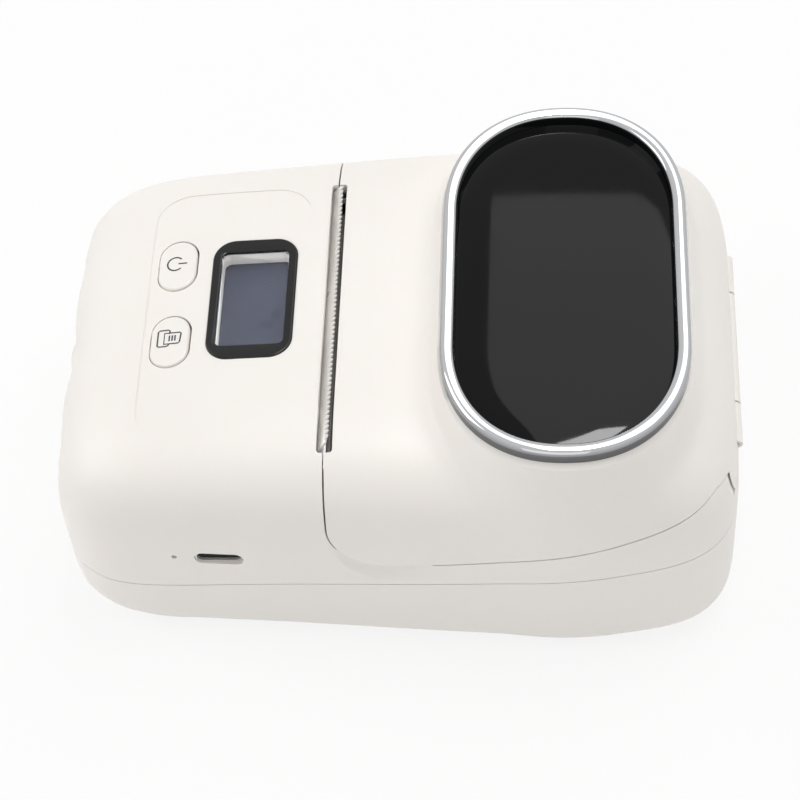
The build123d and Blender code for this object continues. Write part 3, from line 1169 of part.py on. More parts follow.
# Inner frame of the cover: a plate under the bosses and two arms around the bushings
arm_inner = BUSHING_OFFSET + ARM_INSET
arm_outer = arm_inner + ARM_THICKNESS
with BuildPart() as cover_frame:
    add(block((SLOT_X - COVER_FRAME_HALF, COVER_FRAME_FRONT_Y, COVER_FRAME_Z),
              (SLOT_X + COVER_FRAME_HALF, COVER_FRAME_REAR_Y, cover_frame_top)))
    for side in (-1, 1):
        outline = [(COVER_FRAME_HALF - WALL / 2, cover_frame_top), (COVER_FRAME_HALF, cover_frame_top),
                   (arm_outer, COVER_FRAME_Z), (arm_outer, PLATEN_Z), (arm_inner, PLATEN_Z),
                   (arm_inner, COVER_FRAME_Z - WALL), (COVER_FRAME_HALF - WALL / 2, COVER_FRAME_Z)]
        arm = Face(Wire.make_polygon([(SLOT_X + side * x, PLATEN_Y - ARM_HALF_WIDTH, z)
                                      for x, z in outline]))
        add(Solid.extrude(arm, Vector(0, 2 * ARM_HALF_WIDTH, 0)))
        ends = sorted((SLOT_X + side * arm_inner, SLOT_X + side * arm_outer))
        add(rod_x(ARM_HALF_WIDTH, *ends, *platen_center))
        add(rod_x(BUSHING_RADIUS, *ends, *platen_center), mode=Mode.SUBTRACT)
    with BuildSketch(Plane.XY.offset(COVER_FRAME_Z)):
        with Locations(*cover_boss_places):
            Circle(SCREW_RADIUS + SCREW_CLEARANCE)
    extrude(amount=COVER_FRAME_THICKNESS, mode=Mode.SUBTRACT)
cover_frame.part.label = "cover_frame"
export_step(cover_frame.part, "parts/cover_frame.step")

with BuildPart() as cover_screws:
    with BuildSketch(Plane.XY.offset(COVER_FRAME_Z - SCREW_HEAD_HEIGHT)):
        with Locations(*cover_boss_places):
            Circle(SCREW_HEAD_RADIUS)
    extrude(amount=SCREW_HEAD_HEIGHT)
    with BuildSketch(Plane.XY.offset(COVER_FRAME_Z)):
        with Locations(*cover_boss_places):
            Circle(SCREW_RADIUS)
    extrude(amount=COVER_FRAME_THICKNESS + COVER_SCREW_BITE - AXLE_END_GAP)
cover_screws.part.label = "cover_screws"
export_step(cover_screws.part, "parts/cover_screws.step")

with BuildPart() as hinge_pin:
    add(hinge_cylinder(HINGE_PIN_RADIUS, -HINGE_HALF_SPAN, HINGE_HALF_SPAN))
hinge_pin.part.label = "hinge_pin"
export_step(hinge_pin.part, "parts/hinge_pin.step")

# Roll tray: a trough with end walls and flanges, slotted for the necks of the guides
tray_low_x, tray_high_x = SLOT_X - TRAY_HALF_LENGTH - TRAY_WALL, SLOT_X + TRAY_HALF_LENGTH + TRAY_WALL
flange_z = TRAY_RIM_Z - TRAY_FLANGE_THICKNESS
guide_pitch_radius = RACK_MODULE * GUIDE_PINION_TEETH / 2
rack_depth = TOOTH_ROOT * RACK_MODULE + RACK_BACK
right_neck_rear = GUIDE_PINION_Y + guide_pitch_radius + rack_depth
right_neck = (right_neck_rear - RIGHT_NECK_WIDTH, right_neck_rear)
guide_outer = GUIDE_INNER_HALF + GUIDE_THICKNESS
with BuildPart() as roll_tray:
    add(rod_x(CRADLE_RADIUS + TRAY_WALL, tray_low_x, tray_high_x, CRADLE_Y, CRADLE_Z))
    split(bisect_by=Plane.XY.offset(TRAY_RIM_Z), keep=Keep.BOTTOM)
    with BuildSketch(Plane.XY.offset(flange_z)):
        with Locations((SLOT_X, sum(TRAY_POST_Y) / 2)):
            RectangleRounded(tray_high_x - tray_low_x + 2 * TRAY_FLANGE,
                             TRAY_POST_Y[1] - TRAY_POST_Y[0] + 2 * TRAY_FLANGE_END, TRAY_FLANGE / 2)
        with Locations((SLOT_X, TRAY_FRONT_Y + CRADLE_RADIUS / 2)):
            Rectangle(tray_high_x - tray_low_x, CRADLE_RADIUS)
    extrude(amount=TRAY_FLANGE_THICKNESS)
    add(rod_x(CRADLE_RADIUS, tray_low_x + TRAY_WALL, tray_high_x - TRAY_WALL, CRADLE_Y, CRADLE_Z),
        mode=Mode.SUBTRACT)
    for side, neck in ((-1, LEFT_NECK), (1, right_neck)):
        ends = sorted((SLOT_X + side * (guide_outer + GUIDE_OUTWARD + NECK_CLEARANCE),
                       SLOT_X + side * (GUIDE_INNER_HALF - GUIDE_TRAVEL - NECK_CLEARANCE)))
        add(block((ends[0], neck[0] - NECK_CLEARANCE, floor_z),
                  (ends[1], neck[1] + NECK_CLEARANCE, TRAY_RIM_Z)),
            mode=Mode.SUBTRACT)
    with BuildSketch(Plane.XY.offset(flange_z)):
        with Locations(*tray_posts):
            Circle(SCREW_RADIUS + SCREW_CLEARANCE)
    extrude(amount=TRAY_FLANGE_THICKNESS, mode=Mode.SUBTRACT)
roll_tray.part.label = "roll_tray"
export_step(roll_tray.part, "parts/roll_tray.step")


def rack_points(side):
    """Outline of a guide's rack, its teeth facing the pinion; one gap stands over the pinion's axis."""
    near_x = SLOT_X + side * GUIDE_INNER_HALF
    far_x = SLOT_X - side * RACK_OVERLAP
    start, end = sorted((near_x, far_x))
    pitch = math.pi * RACK_MODULE
    tip_half = pitch / 4 - GEAR_BACKLASH / 4 - TOOTH_TIP * RACK_MODULE * math.tan(math.radians(20))
    root_half = pitch / 4 - GEAR_BACKLASH / 4 + TOOTH_ROOT * RACK_MODULE * math.tan(math.radians(20))

    def depth(height):
        # The left rack lies in front of the pinion and the right one behind it
        return GUIDE_PINION_Y + side * (guide_pitch_radius - height)

    points = [(start, depth(-rack_depth)), (start, depth(-TOOTH_ROOT * RACK_MODULE))]
    first = math.ceil((start + pitch / 2 - SLOT_X) / pitch - 0.5)
    last = math.floor((end - pitch / 2 - SLOT_X) / pitch - 0.5)
    for tooth in range(first, last + 1):
        middle = SLOT_X + (tooth + 0.5) * pitch
        root, tip = depth(-TOOTH_ROOT * RACK_MODULE), depth(TOOTH_TIP * RACK_MODULE)
        points += [(middle - root_half, root), (middle - tip_half, tip),
                   (middle + tip_half, tip), (middle + root_half, root)]
    points += [(end, depth(-TOOTH_ROOT * RACK_MODULE)), (end, depth(-rack_depth))]
    return points


for name, side, neck in (("roll_guide_left", -1, LEFT_NECK), ("roll_guide_right", 1, right_neck)):
    plate_x = sorted((SLOT_X + side * GUIDE_INNER_HALF, SLOT_X + side * guide_outer))
    hub_x = sorted(SLOT_X + side * (GUIDE_INNER_HALF - depth) for depth in (0, GUIDE_HUB_LENGTH))
    rack_back_y = GUIDE_PINION_Y + side * (guide_pitch_radius + rack_depth)
    foot_y = sorted((rack_back_y, neck[1] if side < 0 else neck[0]))
    with BuildPart() as guide:
        add(rod_x(CRADLE_RADIUS - GUIDE_CLEARANCE, *plate_x, CRADLE_Y, CRADLE_Z))
        split(bisect_by=Plane.XY.offset(GUIDE_TOP_Z), keep=Keep.BOTTOM)
        add(rod_x(GUIDE_HUB_RADIUS, *hub_x, CRADLE_Y, CRADLE_Z))
        add(block((plate_x[0], neck[0], RACK_Z), (plate_x[1], neck[1], NECK_TOP_Z)))
        add(block((plate_x[0], foot_y[0], RACK_Z), (plate_x[1], foot_y[1], RACK_Z + RACK_HEIGHT)))
        with BuildSketch(Plane.XY.offset(RACK_Z)):
            with BuildLine():
                Polyline(*rack_points(side), close=True)
            make_face()
        extrude(amount=RACK_HEIGHT)
    guide.part.label = name
    export_step(guide.part, "parts/" + name + ".step")

with BuildPart() as guide_pinion:
    with BuildSketch(Plane.XY.offset(RACK_Z)):
        with BuildLine():
            Polyline(*gear_points(pinion_center, GUIDE_PINION_TEETH, RACK_MODULE, 90.0), close=True)
        make_face()
        with Locations(pinion_center):
            Circle(AXLE_RADIUS + SHAFT_FIT, mode=Mode.SUBTRACT)
    extrude(amount=RACK_HEIGHT)
guide_pinion.part.label = "guide_pinion"
export_step(guide_pinion.part, "parts/guide_pinion.step")

axle_top = RACK_Z + RACK_HEIGHT + GUIDE_AXLE_CLEARANCE
with BuildPart() as guide_axle:
    add(Solid.make_cylinder(AXLE_RADIUS, axle_top - floor_z + WALL / 2,
                            Plane(origin=(*pinion_center, floor_z - WALL / 2))))
    add(Solid.make_cylinder(AXLE_HEAD_RADIUS, AXLE_HEAD_THICKNESS,
                            Plane(origin=(*pinion_center, axle_top))))
guide_axle.part.label = "guide_axle"
export_step(guide_axle.part, "parts/guide_axle.step")

# Label sensor on the front flange of the tray
sensor_y = TRAY_FRONT_Y + SENSOR_SETBACK + SENSOR_SIZE[1] / 2
with BuildPart() as label_sensor:
    with Locations((SENSOR_X, sensor_y, TRAY_RIM_Z)):
        Box(*SENSOR_SIZE, align=(Align.CENTER, Align.CENTER, Align.MIN))
    fillet(label_sensor.edges().filter_by(Axis.Z), SENSOR_CORNER)
    for side in (-1, 1):
        with Locations((SENSOR_X + side * SENSOR_SIZE[0] / 5, sensor_y,
                        TRAY_RIM_Z + SENSOR_SIZE[2])):
            Cylinder(SENSOR_EYE_RADIUS, SENSOR_EYE_DEPTH, mode=Mode.SUBTRACT)
label_sensor.part.label = "label_sensor"
export_step(label_sensor.part, "parts/label_sensor.step")

# Ribbon from the display module to its connector on the board
ribbon_top_z = DECK_Z + (FLEX_Y - SEAM_Y) * math.tan(slope) - WELL_DEPTH - LCD_THICKNESS
ribbon = [(FLEX_Y, ribbon_top_z), (FLEX_Y, FLEX_BEND_Z), (FLEX_FOOT_Y, board_top + FLEX_PLUG[2]),
          (FLEX_FOOT_Y + FLEX_THICKNESS, board_top + FLEX_PLUG[2]), (FLEX_Y + FLEX_THICKNESS, FLEX_BEND_Z),
          (FLEX_Y + FLEX_THICKNESS, ribbon_top_z)]
with BuildPart() as display_flex:
    add(prism_x(ribbon, FLEX_X - FLEX_WIDTH / 2, FLEX_X + FLEX_WIDTH / 2))
    add(block((FLEX_X - FLEX_PLUG[0] / 2, FLEX_FOOT_Y - FLEX_PLUG[1] / 2, board_top),
              (FLEX_X + FLEX_PLUG[0] / 2, FLEX_FOOT_Y + FLEX_PLUG[1] / 2, board_top + FLEX_PLUG[2])))
display_flex.part.label = "display_flex"
export_step(display_flex.part, "parts/display_flex.step")

# Battery lead: a plug under the board and a bent cable down to the pack
lead_x = BOARD_CENTER[0] - BATTERY_SIZE[0] / 2
with BuildPart() as battery_lead:
    add(rod_x(LEAD_RADIUS, lead_x - LEAD_OUT, lead_x, LEAD_Y, LEAD_Z))
    with Locations((lead_x - LEAD_OUT, LEAD_Y, LEAD_Z)):
        Sphere(LEAD_RADIUS)
    add(Solid.make_cylinder(LEAD_RADIUS, BOARD_Z - LEAD_PLUG - LEAD_Z,
                            Plane(origin=(lead_x - LEAD_OUT, LEAD_Y, LEAD_Z))))
    add(block((lead_x - LEAD_OUT - LEAD_PLUG / 2, LEAD_Y - LEAD_PLUG / 2, BOARD_Z - LEAD_PLUG),
              (lead_x - LEAD_OUT + LEAD_PLUG / 2, LEAD_Y + LEAD_PLUG / 2, BOARD_Z)))
battery_lead.part.label = "battery_lead"
export_step(battery_lead.part, "parts/battery_lead.step")
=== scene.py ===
import json
import logging
import math
from dataclasses import dataclass, field
from enum import Enum
from typing import Callable, Sequence

import bmesh
import bpy
import numpy as np
from mathutils import Matrix, Vector


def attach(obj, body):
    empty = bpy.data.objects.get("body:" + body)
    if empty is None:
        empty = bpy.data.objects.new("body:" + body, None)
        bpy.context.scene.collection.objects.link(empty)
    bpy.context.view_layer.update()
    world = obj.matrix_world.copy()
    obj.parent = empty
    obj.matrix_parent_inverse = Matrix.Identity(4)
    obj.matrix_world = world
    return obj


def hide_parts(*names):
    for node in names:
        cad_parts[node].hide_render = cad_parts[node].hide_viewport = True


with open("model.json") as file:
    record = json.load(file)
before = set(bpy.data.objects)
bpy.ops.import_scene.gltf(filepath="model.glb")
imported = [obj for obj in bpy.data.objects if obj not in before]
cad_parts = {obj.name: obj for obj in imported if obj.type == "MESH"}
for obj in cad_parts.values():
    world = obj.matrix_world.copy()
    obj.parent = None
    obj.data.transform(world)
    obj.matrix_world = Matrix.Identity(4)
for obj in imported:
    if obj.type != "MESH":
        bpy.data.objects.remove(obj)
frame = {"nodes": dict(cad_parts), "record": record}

LOG = logging.getLogger("label_printer")
MM = 0.001
MERGE_DISTANCE = 1e-6
BUMP_DISTANCE = 0.0001
SHARP_ANGLE = math.radians(32)
BEVEL_ANGLE = math.radians(40)
FLAT_ANGLE = math.radians(0.4)
BEVEL_STEPS = 2
TINY = 1e-9
BROAD, PATCHES, CLOUDS, STAINS = 28.0, 130.0, 60.0, 300.0
SUBSURFACE_SCALE = 0.0015
FLOAT, VECTOR = "NodeSocketFloat", "NodeSocketVector"
NGON = {"fill_type": "NGON"}
WHITE = (1.0, 1.0, 1.0, 1.0)

Color = tuple[float, float, float]
Point2 = tuple[float, float]
Point3 = tuple[float, float, float]
Stroke = tuple[list[Point2], bool]
Node, Socket = bpy.types.Node, bpy.types.NodeSocket
Piece, Mesh = bpy.types.Object, bmesh.types.BMesh


# Node tools

class Tree:
    """A node tree, with short ways to set and join its sockets."""

    def __init__(self, tree: bpy.types.NodeTree) -> None:
        """Keeps the node tree to build in."""
        self.tree = tree

    def put(self, socket: Socket, value: object) -> None:
        """Joins a socket to another one, or sets it to a plain value."""
        if isinstance(value, Socket):
            self.tree.links.new(value, socket)
        else:
            socket.default_value = value

    def feed(self, node: Node, **inputs: object) -> Node:
        """Sets or joins inputs of a node.

        Args:
            node: the node whose inputs are fed.
            inputs: sockets or plain values, named with underscores for spaces.

        Returns:
            The same node.
        """
        for name, value in inputs.items():
            self.put(node.inputs[name.replace("_", " ")], value)
        return node

    def math(self, operation: str, first: object, second: object) -> Socket:
        """One step of arithmetic on two values."""
        node = self.tree.nodes.new("ShaderNodeMath")
        node.operation = operation
        self.put(node.inputs[0], first)
        self.put(node.inputs[1], second)
        return node.outputs[0]


class Graph(Tree):
    """One shader tree."""

    def __init__(self, tree: bpy.types.NodeTree) -> None:
        """Keeps the shader tree and empties it."""
        super().__init__(tree)
        tree.nodes.clear()

    def add(self, kind: str, **settings: object) -> Node:
        """Adds a node.

        Args:
            kind: the node's type name without its prefix.
            settings: attributes to set on it.

        Returns:
            The new node.
        """
        node = self.tree.nodes.new("ShaderNode" + kind)
        for name, value in settings.items():
            setattr(node, name, value)
        return node

    def coordinates(self) -> Socket:
        """Object coordinates, in metres."""
        return self.add("TexCoord").outputs["Object"]

    def noise(self, vector: Socket, scale: object, detail: float = 3.0,
              roughness: float = 0.55) -> Socket:
        """A noise value over the surface.

        Args:
            vector: where it is read.
            scale: noise cells per metre, a number or a socket.
            detail: octaves.
            roughness: weight of the finer octaves.

        Returns:
            The noise's value.
        """
        node = self.feed(self.add("TexNoise"), Vector=vector, Scale=scale, Detail=detail,
                         Roughness=roughness)
        return node.outputs["Fac"]

    def spread(self, value: Socket, low: float = 0.0, high: float = 1.0,
               source: Point2 = (0.3, 0.7)) -> Socket:
        """Maps a value onto a range, clamped.

        Args:
            value: what is mapped.
            low: result at the source's low end.
            high: result at its high end.
            source: the source range, as numbers or sockets.

        Returns:
            The mapped value.
        """
        node = self.feed(self.add("MapRange"), Value=value, From_Min=source[0], From_Max=source[1],
                         To_Min=low, To_Max=high)
        return node.outputs["Result"]

    def mix(self, factor: object, first: object, second: object) -> Socket:
        """Mixes two colours.

        Args:
            factor: share of the second.
            first: colour or socket.
            second: colour or socket.

        Returns:
            The mixed colour.
        """
        node = self.add("Mix", data_type="RGBA")
        for index, value in ((0, factor), (6, first), (7, second)):
            self.put(node.inputs[index], (*value, 1.0) if isinstance(value, tuple) else value)
        return node.outputs[2]

    def blend(self, share: Socket, first: Node, second: Node) -> Socket:
        """Mixes two shaders; the share is that of the second."""
        node = self.add("MixShader")
        for index, value in enumerate((share, first.outputs[0], second.outputs[0])):
            self.put(node.inputs[index], value)
        return node.outputs[0]


def new_group(name: str, inputs: Sequence[tuple[str, str, float]],
              outputs: Sequence[tuple[str, str]]) -> tuple[Graph, Node, Node]:
    """Starts a shader group.

    Args:
        name: the group's name.
        inputs: name, socket type and default of each input.
        outputs: name and socket type of each output.

    Returns:
        The graph, its input node and its output node.
    """
    tree = bpy.data.node_groups.new(name, "ShaderNodeTree")
    for label, kind, value in inputs:
        socket = tree.interface.new_socket(label, in_out="INPUT", socket_type=kind)
        if kind == FLOAT:
            socket.default_value = value
    for label, kind in outputs:
        tree.interface.new_socket(label, in_out="OUTPUT", socket_type=kind)
    graph = Graph(tree)
    source = tree.nodes.new("NodeGroupInput")
    target = tree.nodes.new("NodeGroupOutput")
    return graph, source, target


Get = bpy.types.bpy_prop_collection
Pattern = tuple[Socket, Socket, Socket]


class Groups:
    """The shader groups that several finishes share. Each pattern gives a height, a tone and a gloss."""

    @staticmethod
    def surface(name: str, pattern: Callable[[Graph, Get], Pattern],
                extra: Sequence[tuple[str, str, float]]) -> bpy.types.NodeTree:
        """Builds a group once: a mask for tone, one for gloss, and a bumped normal.

        Args:
            name: the group's name.
            pattern: draws the height, the tone and the gloss.
            extra: inputs of its own, after the vector, the scale and the depth.

        Returns:
            The group.
        """
        if name in bpy.data.node_groups:
            return bpy.data.node_groups[name]
        graph, source, target = new_group(
            name, [("Vector", VECTOR, 0), ("Scale", FLOAT, 900.0), ("Depth", FLOAT, 0.1), *extra],
            [("Tone", FLOAT), ("Gloss", FLOAT), ("Normal", VECTOR)])
        height, tone, gloss = pattern(graph, source.outputs)
        bump = graph.feed(graph.add("Bump"), Height=height, Strength=source.outputs["Depth"],
                          Distance=BUMP_DISTANCE)
        graph.feed(target, Tone=tone, Gloss=gloss, Normal=bump.outputs["Normal"])
        return graph.tree

    @staticmethod
    def grain(graph: Graph, get: Get) -> Pattern:
        """Moulded or cast grain over broad tones."""
        fine = graph.noise(get["Vector"], get["Scale"], 4.0, 0.6)
        broad = graph.noise(get["Vector"], BROAD)
        patches = graph.noise(get["Vector"], PATCHES, 4.0)
        return fine, graph.spread(broad), graph.spread(patches)

    @staticmethod
    def brushed(graph: Graph, get: Get) -> Pattern:
        """Lines drawn along X in metal."""
        stretch = graph.feed(graph.add("Mapping"), Vector=get["Vector"], Scale=(0.04, 1.0, 1.0))
        lines = graph.noise(stretch.outputs["Vector"], get["Scale"], 5.0, 0.7)
        return lines, graph.spread(lines), graph.spread(graph.noise(get["Vector"], CLOUDS))

    @staticmethod
    def tracks(graph: Graph, get: Get) -> Pattern:
        """Copper tracks and pads under a circuit board's mask."""
        cells = graph.feed(graph.add("TexBrick"), Vector=get["Vector"], Scale=get["Scale"],
                           Mortar_Size=0.08, Brick_Width=0.9, Row_Height=0.35, Color1=WHITE,
                           Color2=(0.8, 0.8, 0.8, 1.0), Mortar=(0.0, 0.0, 0.0, 1.0)).outputs["Fac"]
        return cells, cells, graph.spread(graph.noise(get["Vector"], STAINS, 2.0))

    @staticmethod
    def rim(graph: Graph, get: Get) -> Pattern:
        """A polished rim with a painted reflection: its flank is painted the darker tone and its crown the
        lighter one, standing in for the darker and lighter surroundings that it reflects.
        """
        height = graph.feed(graph.add("SeparateXYZ"), Vector=get["Vector"]).outputs["Z"]
        fine = graph.noise(get["Vector"], get["Scale"])
        # Painted shade: lower on the rim is painted darker, as a painted reflection, not a real colour
        # change.
        tone = graph.spread(height, 1.0, 0.0, (get["Flank"], get["Crown"]))
        return fine, tone, graph.spread(graph.noise(get["Vector"], PATCHES))


class Texture(Enum):
    """The named ways that a finish varies over its surface."""

    GRAIN = ("surface_grain", Groups.grain, ())
    BRUSHED = ("brushed_lines", Groups.brushed, ())
    TRACKS = ("board_tracks", Groups.tracks, ())
    PAINTED_RIM_SHADE = ("rim_painted_shade", Groups.rim, (("Flank", FLOAT, 0.0525), ("Crown", FLOAT, 0.0536)))

    def group(self) -> bpy.types.NodeTree:
        """The shader group for this way."""
        return Groups.surface(*self.value)


MATERIALS: dict[str, bpy.types.Material] = {}


@dataclass(frozen=True)
class Finish:
    """One procedural finish.

    Colours are linear. The tone mask runs from color to shade, and gloss over the roughness range.
    """

    name: str
    color: Color
    shade: Color
    rough: Point2
    texture: Texture = Texture.GRAIN
    scale: float = 1500.0
    depth: float = 0.15
    metallic: float = 0.0
    ior: float = 1.46
    specular: float = 0.5
    transmission: float = 0.0
    subsurface: float = 0.0

    def material(self) -> bpy.types.Material:
        """Builds the material once and returns it from then on, apart from the frame's own of that name."""
        if self.name in MATERIALS:
            return MATERIALS[self.name]
        material = bpy.data.materials.new(self.name + "_look")
        MATERIALS[self.name] = material
        material.use_nodes = True
        graph = Graph(material.node_tree)
        group = graph.add("Group")
        group.node_tree = self.texture.group()
        graph.feed(group, Vector=graph.coordinates(), Scale=self.scale, Depth=self.depth)
        shader = graph.add("BsdfPrincipled")
        graph.feed(shader, Base_Color=graph.mix(group.outputs["Tone"], self.color, self.shade),
                   Roughness=graph.spread(group.outputs["Gloss"], self.rough[0], self.rough[1], (0.0, 1.0)),
                   Normal=group.outputs["Normal"], Metallic=self.metallic, IOR=self.ior,
                   Specular_IOR_Level=self.specular, Transmission_Weight=self.transmission)
        if self.subsurface:
            graph.feed(shader, Subsurface_Weight=self.subsurface, Subsurface_Scale=SUBSURFACE_SCALE)
        graph.feed(graph.add("OutputMaterial"), Surface=shader.outputs["BSDF"])
        return material


FINISHES: dict[str, Finish] = {finish.name: finish for finish in (
    Finish("shell_white", (0.932, 0.896, 0.852), (0.914, 0.876, 0.831), (0.36, 0.46), depth=0.12,
           scale=2600.0, subsurface=0.04),
    Finish("button_white", (0.935, 0.899, 0.856), (0.92, 0.882, 0.838), (0.30, 0.40), depth=0.08,
           scale=2600.0, subsurface=0.04),
    Finish("lens_black", (0.0012, 0.0013, 0.0012), (0.002, 0.002, 0.0019), (0.035, 0.07), depth=0.005,
           ior=1.4, specular=0.2),
    # The shade colour is a painted reflection: the ring's flank is painted darker than its crown.
    Finish("ring_chrome", (0.50, 0.505, 0.515), (0.20, 0.205, 0.215), (0.04, 0.09), texture=Texture.PAINTED_RIM_SHADE,
           depth=0.02, metallic=1.0),
    Finish("bezel_black", (0.016, 0.0167, 0.016), (0.021, 0.0217, 0.021), (0.12, 0.22), depth=0.03,
           specular=0.24),
    Finish("pane_clear", (0.97, 0.98, 0.99), (0.94, 0.96, 0.98), (0.0, 0.02), depth=0.0, transmission=1.0,
           ior=1.12, specular=0.3),
    Finish("display_grey", (0.062, 0.066, 0.092), (0.085, 0.09, 0.115), (0.25, 0.4), depth=0.02,
           specular=0.2),
    Finish("inner_grey", (0.085, 0.088, 0.092), (0.065, 0.067, 0.07), (0.42, 0.58), depth=0.35),
    Finish("guide_grey", (0.20, 0.22, 0.25), (0.17, 0.19, 0.215), (0.38, 0.5), depth=0.25),
    Finish("gear_white", (0.70, 0.68, 0.62), (0.62, 0.60, 0.54), (0.35, 0.5), depth=0.15, subsurface=0.05),
    Finish("steel", (0.55, 0.56, 0.57), (0.42, 0.43, 0.44), (0.22, 0.4), depth=0.1, metallic=1.0),
    Finish("blade_steel", (0.86, 0.845, 0.82), (0.76, 0.75, 0.73), (0.26, 0.38), texture=Texture.BRUSHED,
           scale=5200.0, depth=0.2, metallic=0.35),
    Finish("sheet_steel", (0.50, 0.51, 0.52), (0.38, 0.39, 0.40), (0.28, 0.45), texture=Texture.BRUSHED,
           scale=3000.0, depth=0.15, metallic=1.0),
    Finish("sink_aluminium", (0.66, 0.67, 0.68), (0.54, 0.55, 0.56), (0.3, 0.45), texture=Texture.BRUSHED,
           scale=3500.0, depth=0.2, metallic=1.0),
    Finish("head_ceramic", (0.60, 0.58, 0.52), (0.50, 0.48, 0.43), (0.15, 0.3), depth=0.05),
    Finish("rubber_black", (0.018, 0.018, 0.018), (0.030, 0.029, 0.028), (0.6, 0.8), depth=0.5),
    Finish("platen_rubber", (0.030, 0.030, 0.032), (0.045, 0.045, 0.047), (0.55, 0.75), depth=0.45,
           scale=4000.0),
    Finish("board_green", (0.010, 0.085, 0.035), (0.018, 0.14, 0.06), (0.3, 0.45), texture=Texture.TRACKS,
           scale=420.0, depth=0.4),
    Finish("chip_black", (0.012, 0.012, 0.013), (0.022, 0.022, 0.023), (0.45, 0.6), depth=0.3),
    Finish("battery_foil", (0.42, 0.43, 0.45), (0.32, 0.33, 0.35), (0.25, 0.42), depth=0.3, scale=700.0,
           metallic=0.6),
    Finish("flex_amber", (0.42, 0.17, 0.03), (0.32, 0.12, 0.02), (0.25, 0.4), depth=0.1),
    Finish("socket_steel", (0.62, 0.62, 0.63), (0.50, 0.50, 0.51), (0.18, 0.32), texture=Texture.BRUSHED,
           scale=5000.0, depth=0.1, metallic=1.0),
    Finish("bushing_plastic", (0.02, 0.02, 0.02), (0.03, 0.03, 0.03), (0.4, 0.55), depth=0.2),
    Finish("icon_grey", (0.035, 0.034, 0.032), (0.055, 0.053, 0.05), (0.4, 0.55), depth=0.05),
    Finish("port_steel", (0.85, 0.84, 0.82), (0.75, 0.74, 0.73), (0.2, 0.32), depth=0.05, metallic=0.5),
    Finish("port_dark", (0.006, 0.006, 0.006), (0.010, 0.010, 0.010), (0.5, 0.65), depth=0.1, specular=0.2),
)}


# Mesh tools

def body_of(node: str) -> str:
    """The CAD body that a node belongs to."""
    for body, names in frame["record"]["behaviour"]["bodies"].items():
        if node in names:
            return body
    raise KeyError(node)


def slot_of(node: str) -> str:
    """The record's material slot of a node."""
    for row in frame["record"]["subparts"]:
        if row["node"] == node:
            return row["material_slot"]
    raise KeyError(node)


def merged(node: str) -> Mesh:
    """A copy of a CAD node's mesh with its loose triangles joined.

    Args:
        node: name of the CAD node.

    Returns:
        The joined copy, in the row's frame.
    """
    source = frame["nodes"][node]
    mesh = bmesh.new()
    mesh.from_mesh(source.data)
    mesh.transform(source.matrix_world)
    bmesh.ops.remove_doubles(mesh, verts=mesh.verts, dist=MERGE_DISTANCE)
    return mesh


def to_object(mesh: Mesh, name: str) -> Piece:
    """Turns a working mesh into an object of the scene and frees it."""
    data = bpy.data.meshes.new(name)
    mesh.to_mesh(data)
    mesh.free()
    piece = bpy.data.objects.new(name, data)
    bpy.context.scene.collection.objects.link(piece)
    return piece


def smooth(piece: Piece, angle: float = SHARP_ANGLE) -> None:
    """Shades a piece smooth, with edges over an angle kept sharp."""
    piece.data.polygons.foreach_set("use_smooth", [True] * len(piece.data.polygons))
    piece.data.set_sharp_from_angle(angle=angle)


def bake(piece: Piece) -> Piece:
    """Applies a piece's modifiers to its mesh and removes them."""
    evaluated = piece.evaluated_get(bpy.context.evaluated_depsgraph_get())
    data = bpy.data.meshes.new_from_object(evaluated)
    piece.modifiers.clear()
    old = piece.data
    piece.data = data
    bpy.data.meshes.remove(old)
    data.name = piece.name
    return piece


def place(piece: Piece, body: str, slot: str, finish: Finish | None = None,
          nodes: Sequence[str] = ()) -> Piece:
    """Gives a piece its finish, its body and the nodes that it stands for.

    Args:
        piece: the finished object.
        body: CAD body that it rides on.
        slot: the record's material slot.
        finish: its finish, or None for the slot's own.
        nodes: CAD nodes that it replaces.

    Returns:
        The piece.
    """
    piece.data.materials.clear()
    piece.data.materials.append((finish or FINISHES[slot]).material())
    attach(piece, body)
    if nodes:
        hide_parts(*nodes)
    LOG.info("%s: %d faces on %s", piece.name, len(piece.data.polygons), body)
    return piece


def stand_in(piece: Piece, node: str) -> Piece:
    """Places a piece with the body and the slot of the one CAD node that it replaces."""
    return place(piece, body_of(node), slot_of(node), nodes=(node,))


def soften(piece: Piece, width: float, limit: float, angle: float) -> None:
    """Rounds a piece's edges that are sharper than a limit and shades it smooth up to an angle.

    Args:
        piece: the object.
        width: width of the rounding in millimetres.
        limit: edges over this angle are rounded.
        angle: edges up to this angle are shaded smooth.
    """
    modifier = piece.modifiers.new("soft_edges", "BEVEL")
    modifier.width = width * MM
    modifier.segments = BEVEL_STEPS
    modifier.limit_method = "ANGLE"
    modifier.angle_limit = limit
    bake(piece)
    smooth(piece, angle)


def refine(node: str, bevel: float) -> Piece:
    """Replaces a CAD node by a copy with joined faces and softened edges.

    Args:
        node: name of the CAD node.
        bevel: width of the softened edges in millimetres, 0 for none.

    Returns:
        The placed piece.
    """
    mesh = merged(node)
    bmesh.ops.dissolve_limit(mesh, angle_limit=FLAT_ANGLE, verts=mesh.verts, edges=mesh.edges)
    piece = to_object(mesh, node + "_piece")
    smooth(piece)
    if bevel:
        soften(piece, bevel, BEVEL_ANGLE, SHARP_ANGLE)
    return stand_in(piece, node)


